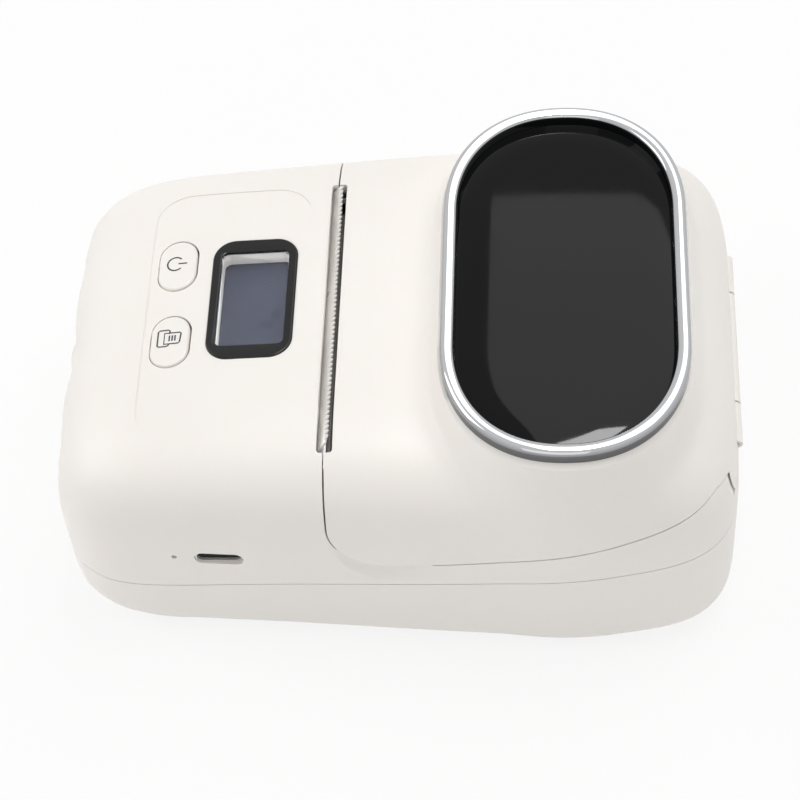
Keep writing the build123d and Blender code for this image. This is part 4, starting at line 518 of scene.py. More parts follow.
def rings_mesh(rings: Sequence[Sequence[Point3]], capped: bool = True) -> Mesh:
    """Skins a stack of closed rings of equal count.

    Args:
        rings: each ring's points, in metres.
        capped: whether the first and the last ring are closed.

    Returns:
        The skinned mesh, its faces turned outwards.
    """
    mesh = bmesh.new()
    rows = [[mesh.verts.new(point) for point in ring] for ring in rings]
    for low, high in zip(rows, rows[1:]):
        for index in range(len(low)):
            after = (index + 1) % len(low)
            mesh.faces.new((low[index], low[after], high[after], high[index]))
    if capped:
        mesh.faces.new(list(reversed(rows[0])))
        mesh.faces.new(rows[-1])
    bmesh.ops.recalc_face_normals(mesh, faces=mesh.faces)
    return mesh


def tube_mesh(rings: Sequence[Sequence[Point3]]) -> Mesh:
    """Skins a section that is carried round an outline, its last ring joined to its first."""
    mesh = rings_mesh([*rings, rings[0]], False)
    bmesh.ops.remove_doubles(mesh, verts=mesh.verts, dist=MERGE_DISTANCE)
    bmesh.ops.recalc_face_normals(mesh, faces=mesh.faces)
    return mesh


def oblong(center: Point2, reach: float, radius: float, steps: int) -> list[Point2]:
    """Outline of an oblong with round ends, its long sides along the first axis.

    Args:
        center: its middle.
        reach: how far the centres of the ends are from there.
        radius: radius of the ends.
        steps: steps round each end.

    Returns:
        The outline's points.
    """
    points = []
    for end, start in ((1, -90.0), (-1, 90.0)):
        for step in range(steps + 1):
            angle = math.radians(start + 180.0 * step / steps)
            points.append((center[0] + end * reach + radius * math.cos(angle),
                           center[1] + radius * math.sin(angle)))
    return points


def joined(first: np.ndarray, second: np.ndarray, power: float | np.ndarray) -> np.ndarray:
    """Joins two shares of a half size as a super-ellipse of that power does."""
    return (first ** power + second ** power) ** (1 / power)


def quarter(steps: int, first: int = 0) -> list[Point2]:
    """Cosine and sine at even steps over a quarter turn."""
    angles = (math.pi / 2 * step / steps for step in range(first, steps + 1))
    return [(math.cos(angle), math.sin(angle)) for angle in angles]


def set_normals(piece: Piece,
                choose: Callable[[bpy.types.MeshPolygon, int], Sequence[float] | None]) -> None:
    """Sets a piece's corner normals one by one.

    Args:
        piece: the smooth-shaded object.
        choose: gives the normal for a face and one of its vertices, or None to keep the one there is.
    """
    data = piece.data
    corners = np.empty(len(data.loops) * 3)
    data.corner_normals.foreach_get("vector", corners)
    corners = corners.reshape(-1, 3)
    for face in data.polygons:
        for loop in face.loop_indices:
            normal = choose(face, data.loops[loop].vertex_index)
            if normal is not None:
                corners[loop] = normal
    data.normals_split_custom_set([tuple(row) for row in corners])


# The body's form

@dataclass
class BodyForm:
    """The outer form in millimetres: a soft slab joined smoothly with an oblong hump."""

    length: float = 118.0
    front_half: float = 38.3
    rear_half: float = 41.7
    waist: Point2 = (-40.0, 29.0)
    plan_power: float = 6.6
    widest_z: float = 11.0
    upper_power: float = 5.4
    lower_power: float = 5.0
    belly: float = 12.6
    deck_z: float = 46.0
    seam_y: float = -10.4
    slope: float = 3.57
    cap_z: float = 46.4
    cap_sharpness: float = 1.5
    seat_z: float = 51.0
    hump_power: float = 6.0
    hump_top: float = 57.7
    blend: float = 27.0
    lens_y: float = 29.4
    ring_half: Point2 = (37.0, 20.7)
    ring_straight: float = 14.0
    ring_power: float = 2.2
    ledge: float = 0.4
    search: Point2 = (25.0, 60.0)
    halvings: int = 32
    step: float = 0.02

    def level(self, points: np.ndarray, inset: float = 0.0) -> np.ndarray:
        """Level of the form at points: 1 on its surface, less inside.

        Args:
            points: rows of x, y and z in millimetres.
            inset: how far the form is drawn in.

        Returns:
            One level for each point.
        """
        x, y, z = points[:, 0], points[:, 1], points[:, 2]
        share = np.clip((y - self.waist[0]) / (self.waist[1] - self.waist[0]), 0.0, 1.0)
        half = self.front_half + (self.rear_half - self.front_half) * share * share * (3 - 2 * share)
        rise = self.deck_z + (y - self.seam_y) * math.tan(math.radians(self.slope))
        deck = self.cap_z - np.log1p(np.exp((self.cap_z - rise) * self.cap_sharpness)) / self.cap_sharpness
        above = z > self.widest_z
        plan = joined(np.abs(x / (half - inset)), np.abs(y / (self.length / 2 - inset)), self.plan_power)
        power = np.where(above, self.upper_power, self.lower_power)
        depth = np.where(above, deck - self.widest_z, self.belly) - inset
        slab = joined(plan, np.abs((z - self.widest_z) / depth), power)
        tall = self.hump_top - self.widest_z
        at_seat = (1 - ((self.seat_z - self.widest_z) / tall) ** self.hump_power) ** (1 / self.hump_power)
        long_half = (self.ring_half[0] + self.ledge) / at_seat - inset
        short_half = (self.ring_half[1] + self.ledge) / at_seat - inset
        past = np.maximum(np.abs(x) - self.ring_straight, 0.0) / (long_half - self.ring_straight)
        oval = joined(past, np.abs((y - self.lens_y) / short_half), self.ring_power)
        depth = np.where(above, tall, self.belly) - inset
        hump = joined(oval, np.abs((z - self.widest_z) / depth), self.hump_power)
        low = np.minimum(slab, hump)
        both = np.exp(-self.blend * (slab - low)) + np.exp(-self.blend * (hump - low))
        return low - np.log(both) / self.blend

    def gradient(self, points: np.ndarray) -> np.ndarray:
        """Rate of the level along x, y and z at points in millimetres."""
        columns = [(self.level(points + shift) - self.level(points - shift)) / (2 * self.step)
                   for shift in np.eye(3) * self.step]
        return np.stack(columns, axis=1)

    def height(self, x: np.ndarray, y: np.ndarray, inset: float = 0.0) -> np.ndarray:
        """Height of the upper surface over places in plan, in millimetres, found by halving."""
        low, high = np.full(len(x), self.search[0]), np.full(len(x), self.search[1])
        for _ in range(self.halvings):
            middle = (low + high) / 2
            inside = self.level(np.stack([x, y, middle], axis=1), inset) < 1
            low, high = np.where(inside, middle, low), np.where(inside, high, middle)
        return low

    def outline(self, inset: float, arc: int = 40, straight: int = 8) -> list[Point2]:
        """The ring's outline in plan.

        Args:
            inset: how far it is drawn in, in millimetres.
            arc: steps over each quarter of the ends.
            straight: steps along each side.

        Returns:
            The outline's points in millimetres.
        """
        half_long, half_short = self.ring_half[0] - inset, self.ring_half[1] - inset
        power = 2 / self.ring_power
        bulge = half_long - self.ring_straight
        end = [(self.ring_straight + bulge * across ** power, half_short * along ** power)
               for across, along in quarter(arc)]
        side = [(self.ring_straight * (1 - 2 * step / straight), half_short) for step in range(1, straight)]
        upper = end + side + [(-x, y) for x, y in reversed(end)]
        lower = [(-x, -y) for x, y in upper[1:-1]]
        return [(x, y + self.lens_y) for x, y in upper + lower]


FORM = BodyForm()


# The printer's visible parts

@dataclass
class Shells:
    """The three outer shells, copied from the CAD with the form's own smooth normals."""

    nodes: tuple[str, ...] = ("lower_case", "upper_case", "cover")
    longest_edge: float = 2.4
    near: float = 0.012
    aligned: float = 0.93
    passes: int = 2
    farthest: float = 0.12
    crease: float = math.radians(28)

    def build(self) -> None:
        """Builds every shell."""
        for node in self.nodes:
            self.shell(node)

    def on_form(self, mesh: Mesh) -> tuple[np.ndarray, np.ndarray]:
        """Which vertices lie on the outer form, and the form's normals there.

        Args:
            mesh: the working mesh, in metres.

        Returns:
            A flag and a normal for each vertex.
        """
        points = np.array([v.co[:] for v in mesh.verts]) / MM
        level = FORM.level(points)
        slopes = FORM.gradient(points)
        lengths = np.linalg.norm(slopes, axis=1, keepdims=True)
        return np.abs(level - 1) < self.near, slopes / np.maximum(lengths, TINY)

    def outer_faces(self, mesh: Mesh, flags: np.ndarray, normals: np.ndarray) -> list[bool]:
        """Which faces belong to the outer form."""
        result = []
        for face in mesh.faces:
            rows = [v.index for v in face.verts]
            facing = float(np.dot(normals[rows].mean(axis=0), face.normal))
            result.append(all(flags[row] for row in rows) and facing > self.aligned)
        return result

    def read(self, mesh: Mesh) -> tuple[np.ndarray, list[bool]]:
        """The form's normals at a mesh's vertices, and which of its faces are outer ones."""
        mesh.verts.index_update()
        mesh.faces.index_update()
        mesh.normal_update()
        flags, normals = self.on_form(mesh)
        return normals, self.outer_faces(mesh, flags, normals)

    def divide(self, mesh: Mesh) -> bool:
        """Halves the outer faces' long edges and lays the new vertices on the form.

        Args:
            mesh: the working mesh, in metres.

        Returns:
            Whether there was an edge to halve.
        """
        _, outer = self.read(mesh)
        long_edges = {edge for face, wanted in zip(mesh.faces, outer) if wanted for edge in face.edges
                      if edge.calc_length() > self.longest_edge * MM}
        if not long_edges:
            return False
        before = set(mesh.verts)
        bmesh.ops.subdivide_edges(mesh, edges=list(long_edges), cuts=1)
        fresh = [v for v in mesh.verts if v not in before]
        points = np.array([v.co[:] for v in fresh]) / MM
        slopes = FORM.gradient(points)
        square = np.maximum((slopes ** 2).sum(axis=1), TINY)
        steps = ((FORM.level(points) - 1) / square)[:, None] * slopes
        for vertex, step in zip(fresh, steps):
            if np.linalg.norm(step) < self.farthest:
                vertex.co -= Vector(step) * MM
        return True

    def shell(self, node: str) -> Piece:
        """Builds the shell that stands for a CAD node."""
        mesh = merged(node)
        for _ in range(self.passes):
            if not self.divide(mesh):
                break
        bmesh.ops.triangulate(mesh, faces=[f for f in mesh.faces if len(f.verts) > 4])
        normals, outer = self.read(mesh)
        piece = to_object(mesh, node + "_shell")
        smooth(piece, self.crease)
        set_normals(piece, lambda face, vertex: normals[vertex] if outer[face.index] else None)
        return stand_in(piece, node)


@dataclass
class LensAndRing:
    """The black lens and the bright ring on the cover's hump."""

    band: float = 2.3
    ring_z: float = 51.0
    ring_height: float = 2.7
    outer_round: float = 0.95
    inner_round: float = 0.7
    inner_step: float = 0.12
    crease: float = math.radians(50)
    round_steps: int = 7
    lens_fit: float = 0.05
    lens_height: float = 1.9
    dome_radius: float = 520.0
    rim_width: float = 5.0
    rim_drop: float = 0.5
    rim_power: float = 2.2
    lens_insets: tuple[float, ...] = (0.0, 0.12, 0.28, 0.5, 0.8, 1.2, 1.7, 2.3, 3.0, 3.8, 4.7, 6.0,
                                      8.0, 10.5, 13.0, 15.5, 17.6)
    upward: float = 0.5
    just_inside: float = 1.001

    def build(self) -> None:
        """Builds the ring and the lens."""
        self.ring()
        self.lens()

    def ring(self) -> Piece:
        """The ring: one rounded section carried round the outline."""
        top = self.ring_z + self.ring_height
        section = [(0.0, self.ring_z), (0.0, top - self.outer_round)]
        section += [(self.outer_round * (1 - across), top - self.outer_round * (1 - along))
                    for across, along in quarter(self.round_steps, 1)]
        section += [(self.band - self.inner_round * (1 - along),
                     top - self.inner_step - self.inner_round * (1 - across))
                    for across, along in quarter(self.round_steps)]
        section.append((self.band, self.ring_z))
        rings = [[(x * MM, y * MM, z * MM) for x, y in FORM.outline(inset)] for inset, z in section]
        piece = to_object(tube_mesh(rings), "chrome_ring")
        smooth(piece, self.crease)
        return stand_in(piece, "lens_ring")

    def lens(self) -> Piece:
        """The lens: a low dome whose rim rolls over softly into the ring."""
        rings = [[(x * MM, y * MM, self.ring_z * MM) for x, y in FORM.outline(self.band + self.lens_fit)]]
        for inset in self.lens_insets:
            rim = self.rim_drop * max(0.0, 1.0 - inset / self.rim_width) ** self.rim_power
            ring = []
            for x, y in FORM.outline(self.band + self.lens_fit + inset):
                out = math.hypot(x, y - FORM.lens_y)
                height = self.ring_z + self.lens_height - out * out / (2 * self.dome_radius) - rim
                ring.append((x * MM, y * MM, height * MM))
            rings.append(ring)
        piece = to_object(rings_mesh(rings), "lens_dome")
        smooth(piece, self.crease)
        self.true_dome(piece)
        return stand_in(piece, "lens")

    def true_dome(self, piece: Piece) -> None:
        """Gives the lens the dome's own normals inside its rim, so that reflections run clean over it."""
        inner = self.band + self.lens_fit + self.rim_width
        long_half, short_half = FORM.ring_half[0] - inner, FORM.ring_half[1] - inner

        def choose(face: bpy.types.MeshPolygon, vertex: int) -> Vector | None:
            """The dome's normal on an upper face inside the rim."""
            x, y, _ = piece.data.vertices[vertex].co / MM
            y -= FORM.lens_y
            past = max(abs(x) - FORM.ring_straight, 0.0) / (long_half - FORM.ring_straight)
            share = past ** FORM.ring_power + abs(y / short_half) ** FORM.ring_power
            if face.normal.z < self.upward or share > self.just_inside:
                return None
            return Vector((x / self.dome_radius, y / self.dome_radius, 1.0)).normalized()

        set_normals(piece, choose)


@dataclass
class Keys:
    """The two keys with their icons, shaped over the deck."""

    center_x: float = -1.86
    center_y: float = -38.2
    spacing: float = 16.5
    length: float = 10.7
    width: float = 6.8
    form_inset: float = -0.1
    edge_round: float = 0.55
    round_steps: int = 6
    flange: float = 0.8
    flange_thickness: float = 0.8
    flange_depth: float = 3.7
    stem_radius: float = 1.4
    stem_depth: float = 5.6
    corner_steps: int = 14
    stroke: float = 0.27
    icon_lift: float = 0.015
    icon_height: float = 0.01
    icon_radius: float = 1.42
    shift: Point2 = (-0.3, -0.45)
    top_insets: tuple[float, ...] = (1.2, 2.0, 2.8, 3.3)
    stem_overlap: float = 0.05
    crease: float = math.radians(40)

    def center(self, side: int) -> Point2:
        """Centre of the key on one side, in millimetres."""
        return (self.center_x + side * self.spacing / 2, self.center_y)

    def stadium(self, side: int, inset: float) -> list[Point2]:
        """A key's outline, drawn in by an inset."""
        reach = (self.length - self.width) / 2
        return oblong(self.center(side), reach, self.width / 2 - inset, self.corner_steps)

    def lifted(self, points: Sequence[Point2], drop: float) -> list[Point3]:
        """Places in plan carried to the key's top surface, less a drop, in metres."""
        x = np.array([p[0] for p in points])
        y = np.array([p[1] for p in points])
        z = FORM.height(x, y, self.form_inset) - drop
        return [(a * MM, b * MM, c * MM) for a, b, c in zip(x, y, z)]

    def deck(self, points: Sequence[Point2], depth: float) -> list[Point3]:
        """Places in plan at a depth under the sloping deck plane, in metres."""
        rise = math.tan(math.radians(FORM.slope))
        return [(x * MM, y * MM, (FORM.deck_z + (y - FORM.seam_y) * rise - depth) * MM) for x, y in points]

    def build(self) -> None:
        """Builds both keys and both icons."""
        self.cap(-1, "power_button", "power_cap")
        self.cap(1, "feed_button", "feed_cap")
        self.icon(-1, "power_button", "power_icon", self.power_strokes())
        self.icon(1, "feed_button", "feed_icon", self.feed_strokes())

    def cap(self, side: int, node: str, name: str) -> Piece:
        """Builds one key: rounded cap, skirt, flange and stem.

        Args:
            side: -1 for the left key, 1 for the right one.
            node: the CAD node that it replaces.
            name: the piece's name.

        Returns:
            The placed piece.
        """
        bottom = self.flange_depth + self.flange_thickness
        rings = [self.deck(self.stadium(side, -self.flange), bottom),
                 self.deck(self.stadium(side, -self.flange), self.flange_depth),
                 self.deck(self.stadium(side, 0.0), self.flange_depth)]
        for across, along in quarter(self.round_steps):
            inset, drop = self.edge_round * (1 - across), self.edge_round * (1 - along)
            rings.append(self.lifted(self.stadium(side, inset), drop))
        rings += [self.lifted(self.stadium(side, inset), 0.0) for inset in self.top_insets]
        mesh = rings_mesh(rings)
        cx, cy = self.center(side)
        turns = [math.radians(turn) for turn in range(0, 360, 15)]
        circle = [(cx + self.stem_radius * math.cos(turn), cy + self.stem_radius * math.sin(turn))
                  for turn in turns]
        stem = rings_mesh([self.deck(circle, self.stem_depth),
                           self.deck(circle, bottom - self.stem_overlap)])
        extra = bpy.data.meshes.new("stem")
        stem.to_mesh(extra)
        stem.free()
        mesh.from_mesh(extra)
        bpy.data.meshes.remove(extra)
        piece = to_object(mesh, name)
        smooth(piece, self.crease)
        return stand_in(piece, node)

    def ribbon(self, points: Sequence[Point2], closed: bool) -> list[tuple[Point2, Point2]]:
        """The two sides of a stroke along a line of points, which may close on itself."""
        sides = []
        count = len(points)
        for index, (x, y) in enumerate(points):
            before = points[(index - 1) % count] if closed or index else points[index]
            after = points[(index + 1) % count] if closed or index < count - 1 else points[index]
            dx, dy = after[0] - before[0], after[1] - before[1]
            length = math.hypot(dx, dy) or 1.0
            nx, ny = -dy / length * self.stroke / 2, dx / length * self.stroke / 2
            sides.append(((x + nx, y + ny), (x - nx, y - ny)))
        return sides

    def icon(self, side: int, node: str, name: str, strokes: Sequence[Stroke]) -> Piece:
        """Builds a key's printed icon, as thin raised strokes that follow its surface.

        Args:
            side: -1 for the left key, 1 for the right one.
            node: the key's CAD node.
            name: the piece's name.
            strokes: lines of points about the key's centre, each with whether it is closed.

        Returns:
            The placed piece.
        """
        cx, cy = self.center(side)
        mesh = bmesh.new()
        for points, closed in strokes:
            moved = [(cx + self.shift[0] + x, cy + self.shift[1] + y) for x, y in points]
            sides = self.ribbon(moved, closed)
            lefts = self.lifted([s[0] for s in sides], -self.icon_lift)
            rights = self.lifted([s[1] for s in sides], -self.icon_lift)
            rows = [(mesh.verts.new(a), mesh.verts.new(b)) for a, b in zip(lefts, rights)]
            pairs = list(zip(rows, rows[1:])) + ([(rows[-1], rows[0])] if closed else [])
            for (a, b), (c, d) in pairs:
                mesh.faces.new((b, a, c, d))
        mesh.normal_update()
        for face in mesh.faces:
            if face.normal.z < 0:
                face.normal_flip()
        grown = bmesh.ops.extrude_face_region(mesh, geom=list(mesh.faces))
        for vertex in (v for v in grown["geom"] if isinstance(v, bmesh.types.BMVert)):
            vertex.co.z += self.icon_height * MM
        bmesh.ops.recalc_face_normals(mesh, faces=mesh.faces)
        piece = to_object(mesh, name)
        return place(piece, body_of(node), slot_of(node), FINISHES["icon_grey"])

    def power_strokes(self) -> list[Stroke]:
        """An open ring and a bar, pointing to the rear."""
        turns = [math.radians(turn) for turn in range(44, 317, 8)]
        arc = [(self.icon_radius * math.sin(turn), self.icon_radius * math.cos(turn)) for turn in turns]
        return [(arc, False), ([(0.0, 0.55), (0.0, 1.3), (0.0, 2.1)], False)]

    @staticmethod
    def feed_strokes() -> list[Stroke]:
        """Two labels, one over the other, the front one with three lines."""
        back = [(-0.95, 0.05), (-1.55, 0.05), (-1.8, -0.2), (-1.8, -1.7), (-1.55, -2.0), (1.4, -2.0),
                (1.65, -1.75), (1.65, -0.3), (1.4, 0.0), (1.15, 0.05)]
        front = [(-1.15, -0.85), (1.15, -0.85), (1.15, 1.65), (0.9, 1.9), (-0.95, 2.05), (-1.15, 1.8)]
        lines = [([(-0.6, y), (0.6, y)], False) for y in (0.05, 0.55, 1.05)]
        return [([(x - 0.2, y + 0.3) for x, y in points], closed)
                for points, closed in [(back, False), (front, True), *lines]]


class Instancer(Tree):
    """Builds Geometry Nodes trees that repeat a small form and bakes them into plain meshes."""

    def __init__(self, name: str, inputs: Sequence[tuple[str, str, object]]) -> None:
        """Starts a tree.

        Args:
            name: the tree's name.
            inputs: name, socket type and value of each input.
        """
        super().__init__(bpy.data.node_groups.new(name, "GeometryNodeTree"))
        self.values = {label: value for label, _, value in inputs}
        self.tree.interface.new_socket("Geometry", in_out="INPUT", socket_type="NodeSocketGeometry")
        for label, kind, _ in inputs:
            self.tree.interface.new_socket(label, in_out="INPUT", socket_type=kind)
        self.tree.interface.new_socket("Geometry", in_out="OUTPUT", socket_type="NodeSocketGeometry")
        self.source = self.tree.nodes.new("NodeGroupInput")
        self.target = self.tree.nodes.new("NodeGroupOutput")

    def add(self, kind: str, settings: dict[str, object] | None = None, **inputs: object) -> Node:
        """Adds a node and feeds its inputs, named with underscores for spaces."""
        node = self.tree.nodes.new(kind)
        for name, value in (settings or {}).items():
            setattr(node, name, value)
        return self.feed(node, **inputs)

    def vector(self, x: object = 0.0, y: object = 0.0, z: object = 0.0) -> Socket:
        """A vector from three values."""
        return self.add("ShaderNodeCombineXYZ", X=x, Y=y, Z=z).outputs[0]

    def raised(self, form: Node, height: Socket, share: float) -> Socket:
        """A form moved up by a share of a height."""
        up = self.vector(z=self.math("MULTIPLY", height, share))
        return self.add("GeometryNodeTransform", Geometry=form.outputs[0], Translation=up).outputs[0]

    def boolean(self, operation: str, parts: Sequence[Socket],
                base: Socket | None = None) -> Socket:
        """Parts made one, or cut from a base."""
        node = self.add("GeometryNodeMeshBoolean", {"operation": operation})
        if base is not None:
            self.tree.links.new(base, node.inputs[0])
        for part in parts:
            self.tree.links.new(part, node.inputs[1])
        return node.outputs[0]

    def together(self, *parts: Socket) -> Socket:
        """Several geometries as one."""
        node = self.tree.nodes.new("GeometryNodeJoinGeometry")
        for part in parts:
            self.tree.links.new(part, node.inputs[0])
        return node.outputs[0]

    def close(self, geometry: Socket, material: bpy.types.Material) -> None:
        """Ends the tree in Realize Instances and Set Material."""
        real = self.add("GeometryNodeRealizeInstances", Geometry=geometry)
        painted = self.add("GeometryNodeSetMaterial", Geometry=real.outputs[0], Material=material)
        self.tree.links.new(painted.outputs[0], self.target.inputs[0])

    def run(self, name: str, base: Mesh) -> Piece:
        """Applies the tree to a base mesh and returns a plain object."""
        piece = to_object(base, name)
        modifier = piece.modifiers.new("repeat", "NODES")
        modifier.node_group = self.tree
        for item in self.tree.interface.items_tree:
            if item.in_out == "INPUT" and item.name in self.values:
                modifier[item.identifier] = self.values[item.name]
        return bake(piece)


@dataclass
class ScrewSet:
    """Cross-head screws of one kind, repeated at their places."""

    node: str
    places: list[Point3]
    direction: Point3 = (0.0, 0.0, 1.0)
    head_radius: float = 1.7
    head_height: float = 1.2
    shank_radius: float = 0.9
    shank_length: float = 5.6
    drive_width: float = 0.5
    skirt_share: float = 0.6
    crown_share: float = 0.72
    drive_reach: float = 1.15
    head_sides: int = 28
    shank_sides: int = 20

    def build(self) -> Piece:
        """Builds the set with Geometry Nodes, its sizes as the tree's inputs."""
        sizes = (("Head Radius", self.head_radius), ("Head Height", self.head_height),
                 ("Shank Radius", self.shank_radius), ("Shank Length", self.shank_length),
                 ("Drive Width", self.drive_width))
        kit = Instancer(self.node + "_tree", [*((label, FLOAT, size * MM) for label, size in sizes),
                                              ("Direction", VECTOR, self.direction)])
        get = kit.source.outputs
        radius, height, width = get["Head Radius"], get["Head Height"], get["Drive Width"]
        skirt = kit.add("GeometryNodeMeshCylinder", NGON, Vertices=self.head_sides, Radius=radius,
                        Depth=kit.math("MULTIPLY", height, self.skirt_share))
        crown = kit.add("GeometryNodeMeshCone", NGON, Vertices=self.head_sides, Radius_Bottom=radius,
                        Radius_Top=kit.math("MULTIPLY", radius, self.crown_share),
                        Depth=kit.math("MULTIPLY", height, 1 - self.skirt_share))
        reach = kit.math("MULTIPLY", radius, self.drive_reach)
        bars = [kit.add("GeometryNodeMeshCube", Size=kit.vector(x, y, height))
                for x, y in ((reach, width), (width, reach))]
        whole = kit.boolean("UNION", [kit.raised(skirt, height, self.skirt_share / 2),
                                      kit.raised(crown, height, self.skirt_share)])
        head = kit.boolean("DIFFERENCE", [kit.raised(bar, height, 1.0) for bar in bars], whole)
        shank = kit.add("GeometryNodeMeshCylinder", NGON, Vertices=self.shank_sides,
                        Radius=get["Shank Radius"], Depth=get["Shank Length"])
        screw = kit.together(head, kit.raised(shank, get["Shank Length"], -0.5))
        turn = kit.add("FunctionNodeAlignRotationToVector", {"axis": "Z"}, Vector=get["Direction"])
        spread = kit.add("GeometryNodeInstanceOnPoints", Points=get["Geometry"], Instance=screw,
                         Rotation=turn.outputs[0])
        kit.close(spread.outputs[0], FINISHES["steel"].material())
        base = bmesh.new()
        for spot in self.places:
            base.verts.new(Vector(spot) * MM)
        piece = kit.run(self.node + "_set", base)
        smooth(piece)
        return stand_in(piece, self.node)


@dataclass
class TearBlade:
    """The tear bar: a folded strip and the saw teeth along its rear edge."""

    slot_x: float = 1.5
    length: float = 56.4
    near_gap: float = 1.3
    y: float = -11.9
    bend_z: float = 42.5
    foot: float = 3.0
    rise: float = 2.8
    lean: float = 38.0
    thickness: float = 0.5
    tooth_depth: float = 0.8
    teeth: int = 58
    fold_slant: float = 0.2
    fold_round: float = 0.3
    edge_round: float = 0.08
    overlap: float = 0.02
    tip_width: float = 0.08
    tip_thickness: float = 0.2
    limit: float = math.radians(30)
    crease: float = math.radians(25)

    @property
    def height(self) -> float:
        """How far the plain strip reaches along its lean, to the teeth's root."""
        return self.rise / math.cos(math.radians(self.lean)) - self.tooth_depth

    def point(self, x: float, along: float, off: float) -> Vector:
        """A place on the leaning strip: along it from the bend and off its middle plane."""
        lean = math.radians(self.lean)
        y = self.y + along * math.sin(lean) - off * math.cos(lean)
        z = self.bend_z + along * math.cos(lean) + off * math.sin(lean)
        return Vector((x, y, z)) * MM

    def build(self) -> None:
        """Builds the strip and the teeth."""
        self.strip()
        self.saw()

    def strip(self) -> Piece:
        """The folded strip, cut slanting at its near end."""
        half = self.thickness / 2
        start, end = self.slot_x - self.length / 2, self.slot_x + self.length / 2
        rings = []
        for share in (0.0, 1.0):
            foot_x = start + (end - start) * share
            top_x = start + (end - self.near_gap - start) * share
            mid_x = start + (end - self.fold_slant - start) * share
            rings.append([
                Vector((foot_x, self.y - half, self.bend_z - self.foot)) * MM,
                Vector((foot_x, self.y + half, self.bend_z - self.foot)) * MM,
                Vector((mid_x, self.y + half, self.bend_z - half * self.fold_round)) * MM,
                self.point(top_x, self.height, -half), self.point(top_x, self.height, half),
                Vector((mid_x, self.y - half, self.bend_z + half * self.fold_round)) * MM])
        piece = to_object(rings_mesh(rings), "tear_strip")
        soften(piece, self.edge_round, self.limit, self.crease)
        return stand_in(piece, "tear_bar")

    def saw(self) -> Piece:
        """The teeth, repeated by Geometry Nodes along the rear edge."""
        pitch = self.length / self.teeth
        count = int((self.length - self.near_gap) / pitch)
        start = self.slot_x - self.length / 2 + pitch / 2
        kit = Instancer("saw_teeth_tree", [("Teeth", "NodeSocketInt", count), ("Pitch", FLOAT, pitch * MM)])
        get = kit.source.outputs
        line = kit.add("GeometryNodeMeshLine", {"mode": "OFFSET"}, Count=get["Teeth"],
                       Offset=kit.vector(x=get["Pitch"]))
        spread = kit.add("GeometryNodeInstanceOnPoints", Points=line.outputs[0], Instance=get["Geometry"])
        kit.close(spread.outputs[0], FINISHES["blade_steel"].material())
        half = self.thickness / 2
        root, tip = self.height - self.overlap, self.height + self.tooth_depth
        tooth = [[self.point(start + share * pitch, along, side * half * thin) for share, along, thin in (
            (-0.5, root, 1.0), (0.5, root, 1.0),
            (self.tip_width, tip, self.tip_thickness), (-self.tip_width, tip, self.tip_thickness))]
            for side in (-1, 1)]
        piece = kit.run("tear_teeth", rings_mesh(tooth))
        return place(piece, body_of("tear_bar"), "blade_steel")


@dataclass
class PortMouth:
    """The charging port's metal mouth, standing in the housing's hole, and its dark inside: a near-black
    block that is partly the socket's black insides and partly painted shade of its hollow.
    """

    y: float = -29.6
    z: float = 24.5
    half_width: float = 4.15
    half_height: float = 1.4
    wall: float = 0.3
    front_depth: float = 0.5
    core_depth: float = 1.0
    back_depth: float = 1.7
    steps: int = 10
    search: Point2 = (25.0, 50.0)
    halvings: int = 30

    def outline(self, depth: float, inset: float) -> list[Point3]:
        """The mouth's oblong at a depth under the housing's surface, in metres."""
        x = self.surface() - depth
        reach = self.half_width - self.half_height
        ring = oblong((self.y, self.z), reach, self.half_height - inset, self.steps)
        return [(x * MM, y * MM, z * MM) for y, z in ring]

    def surface(self) -> float:
        """Where the housing's side stands at the port's middle, in millimetres."""
        low, high = self.search
        for _ in range(self.halvings):
            middle = (low + high) / 2
            inside = FORM.level(np.array([[middle, self.y, self.z]]))[0] < 1
            low, high = (middle, high) if inside else (low, middle)
        return low

    def build(self) -> None:
        """Builds the mouth and its inside."""
        rings = [self.outline(depth, inset) for depth, inset in (
            (self.back_depth, 0.0), (self.front_depth, 0.0),
            (self.front_depth, self.wall), (self.back_depth, self.wall))]
        mouth = to_object(tube_mesh(rings), "port_mouth")
        smooth(mouth)
        place(mouth, body_of("usb_socket"), "socket_steel", FINISHES["port_steel"])
        # Partly painted shade: this near-black block fills the whole hollow, where the real socket has a
        # black tongue with shade round it.
        rings = [self.outline(depth, self.wall) for depth in (self.back_depth, self.core_depth)]
        core = to_object(rings_mesh(rings), "port_core")
        smooth(core)
        place(core, body_of("usb_socket"), "chip_black", FINISHES["port_dark"])


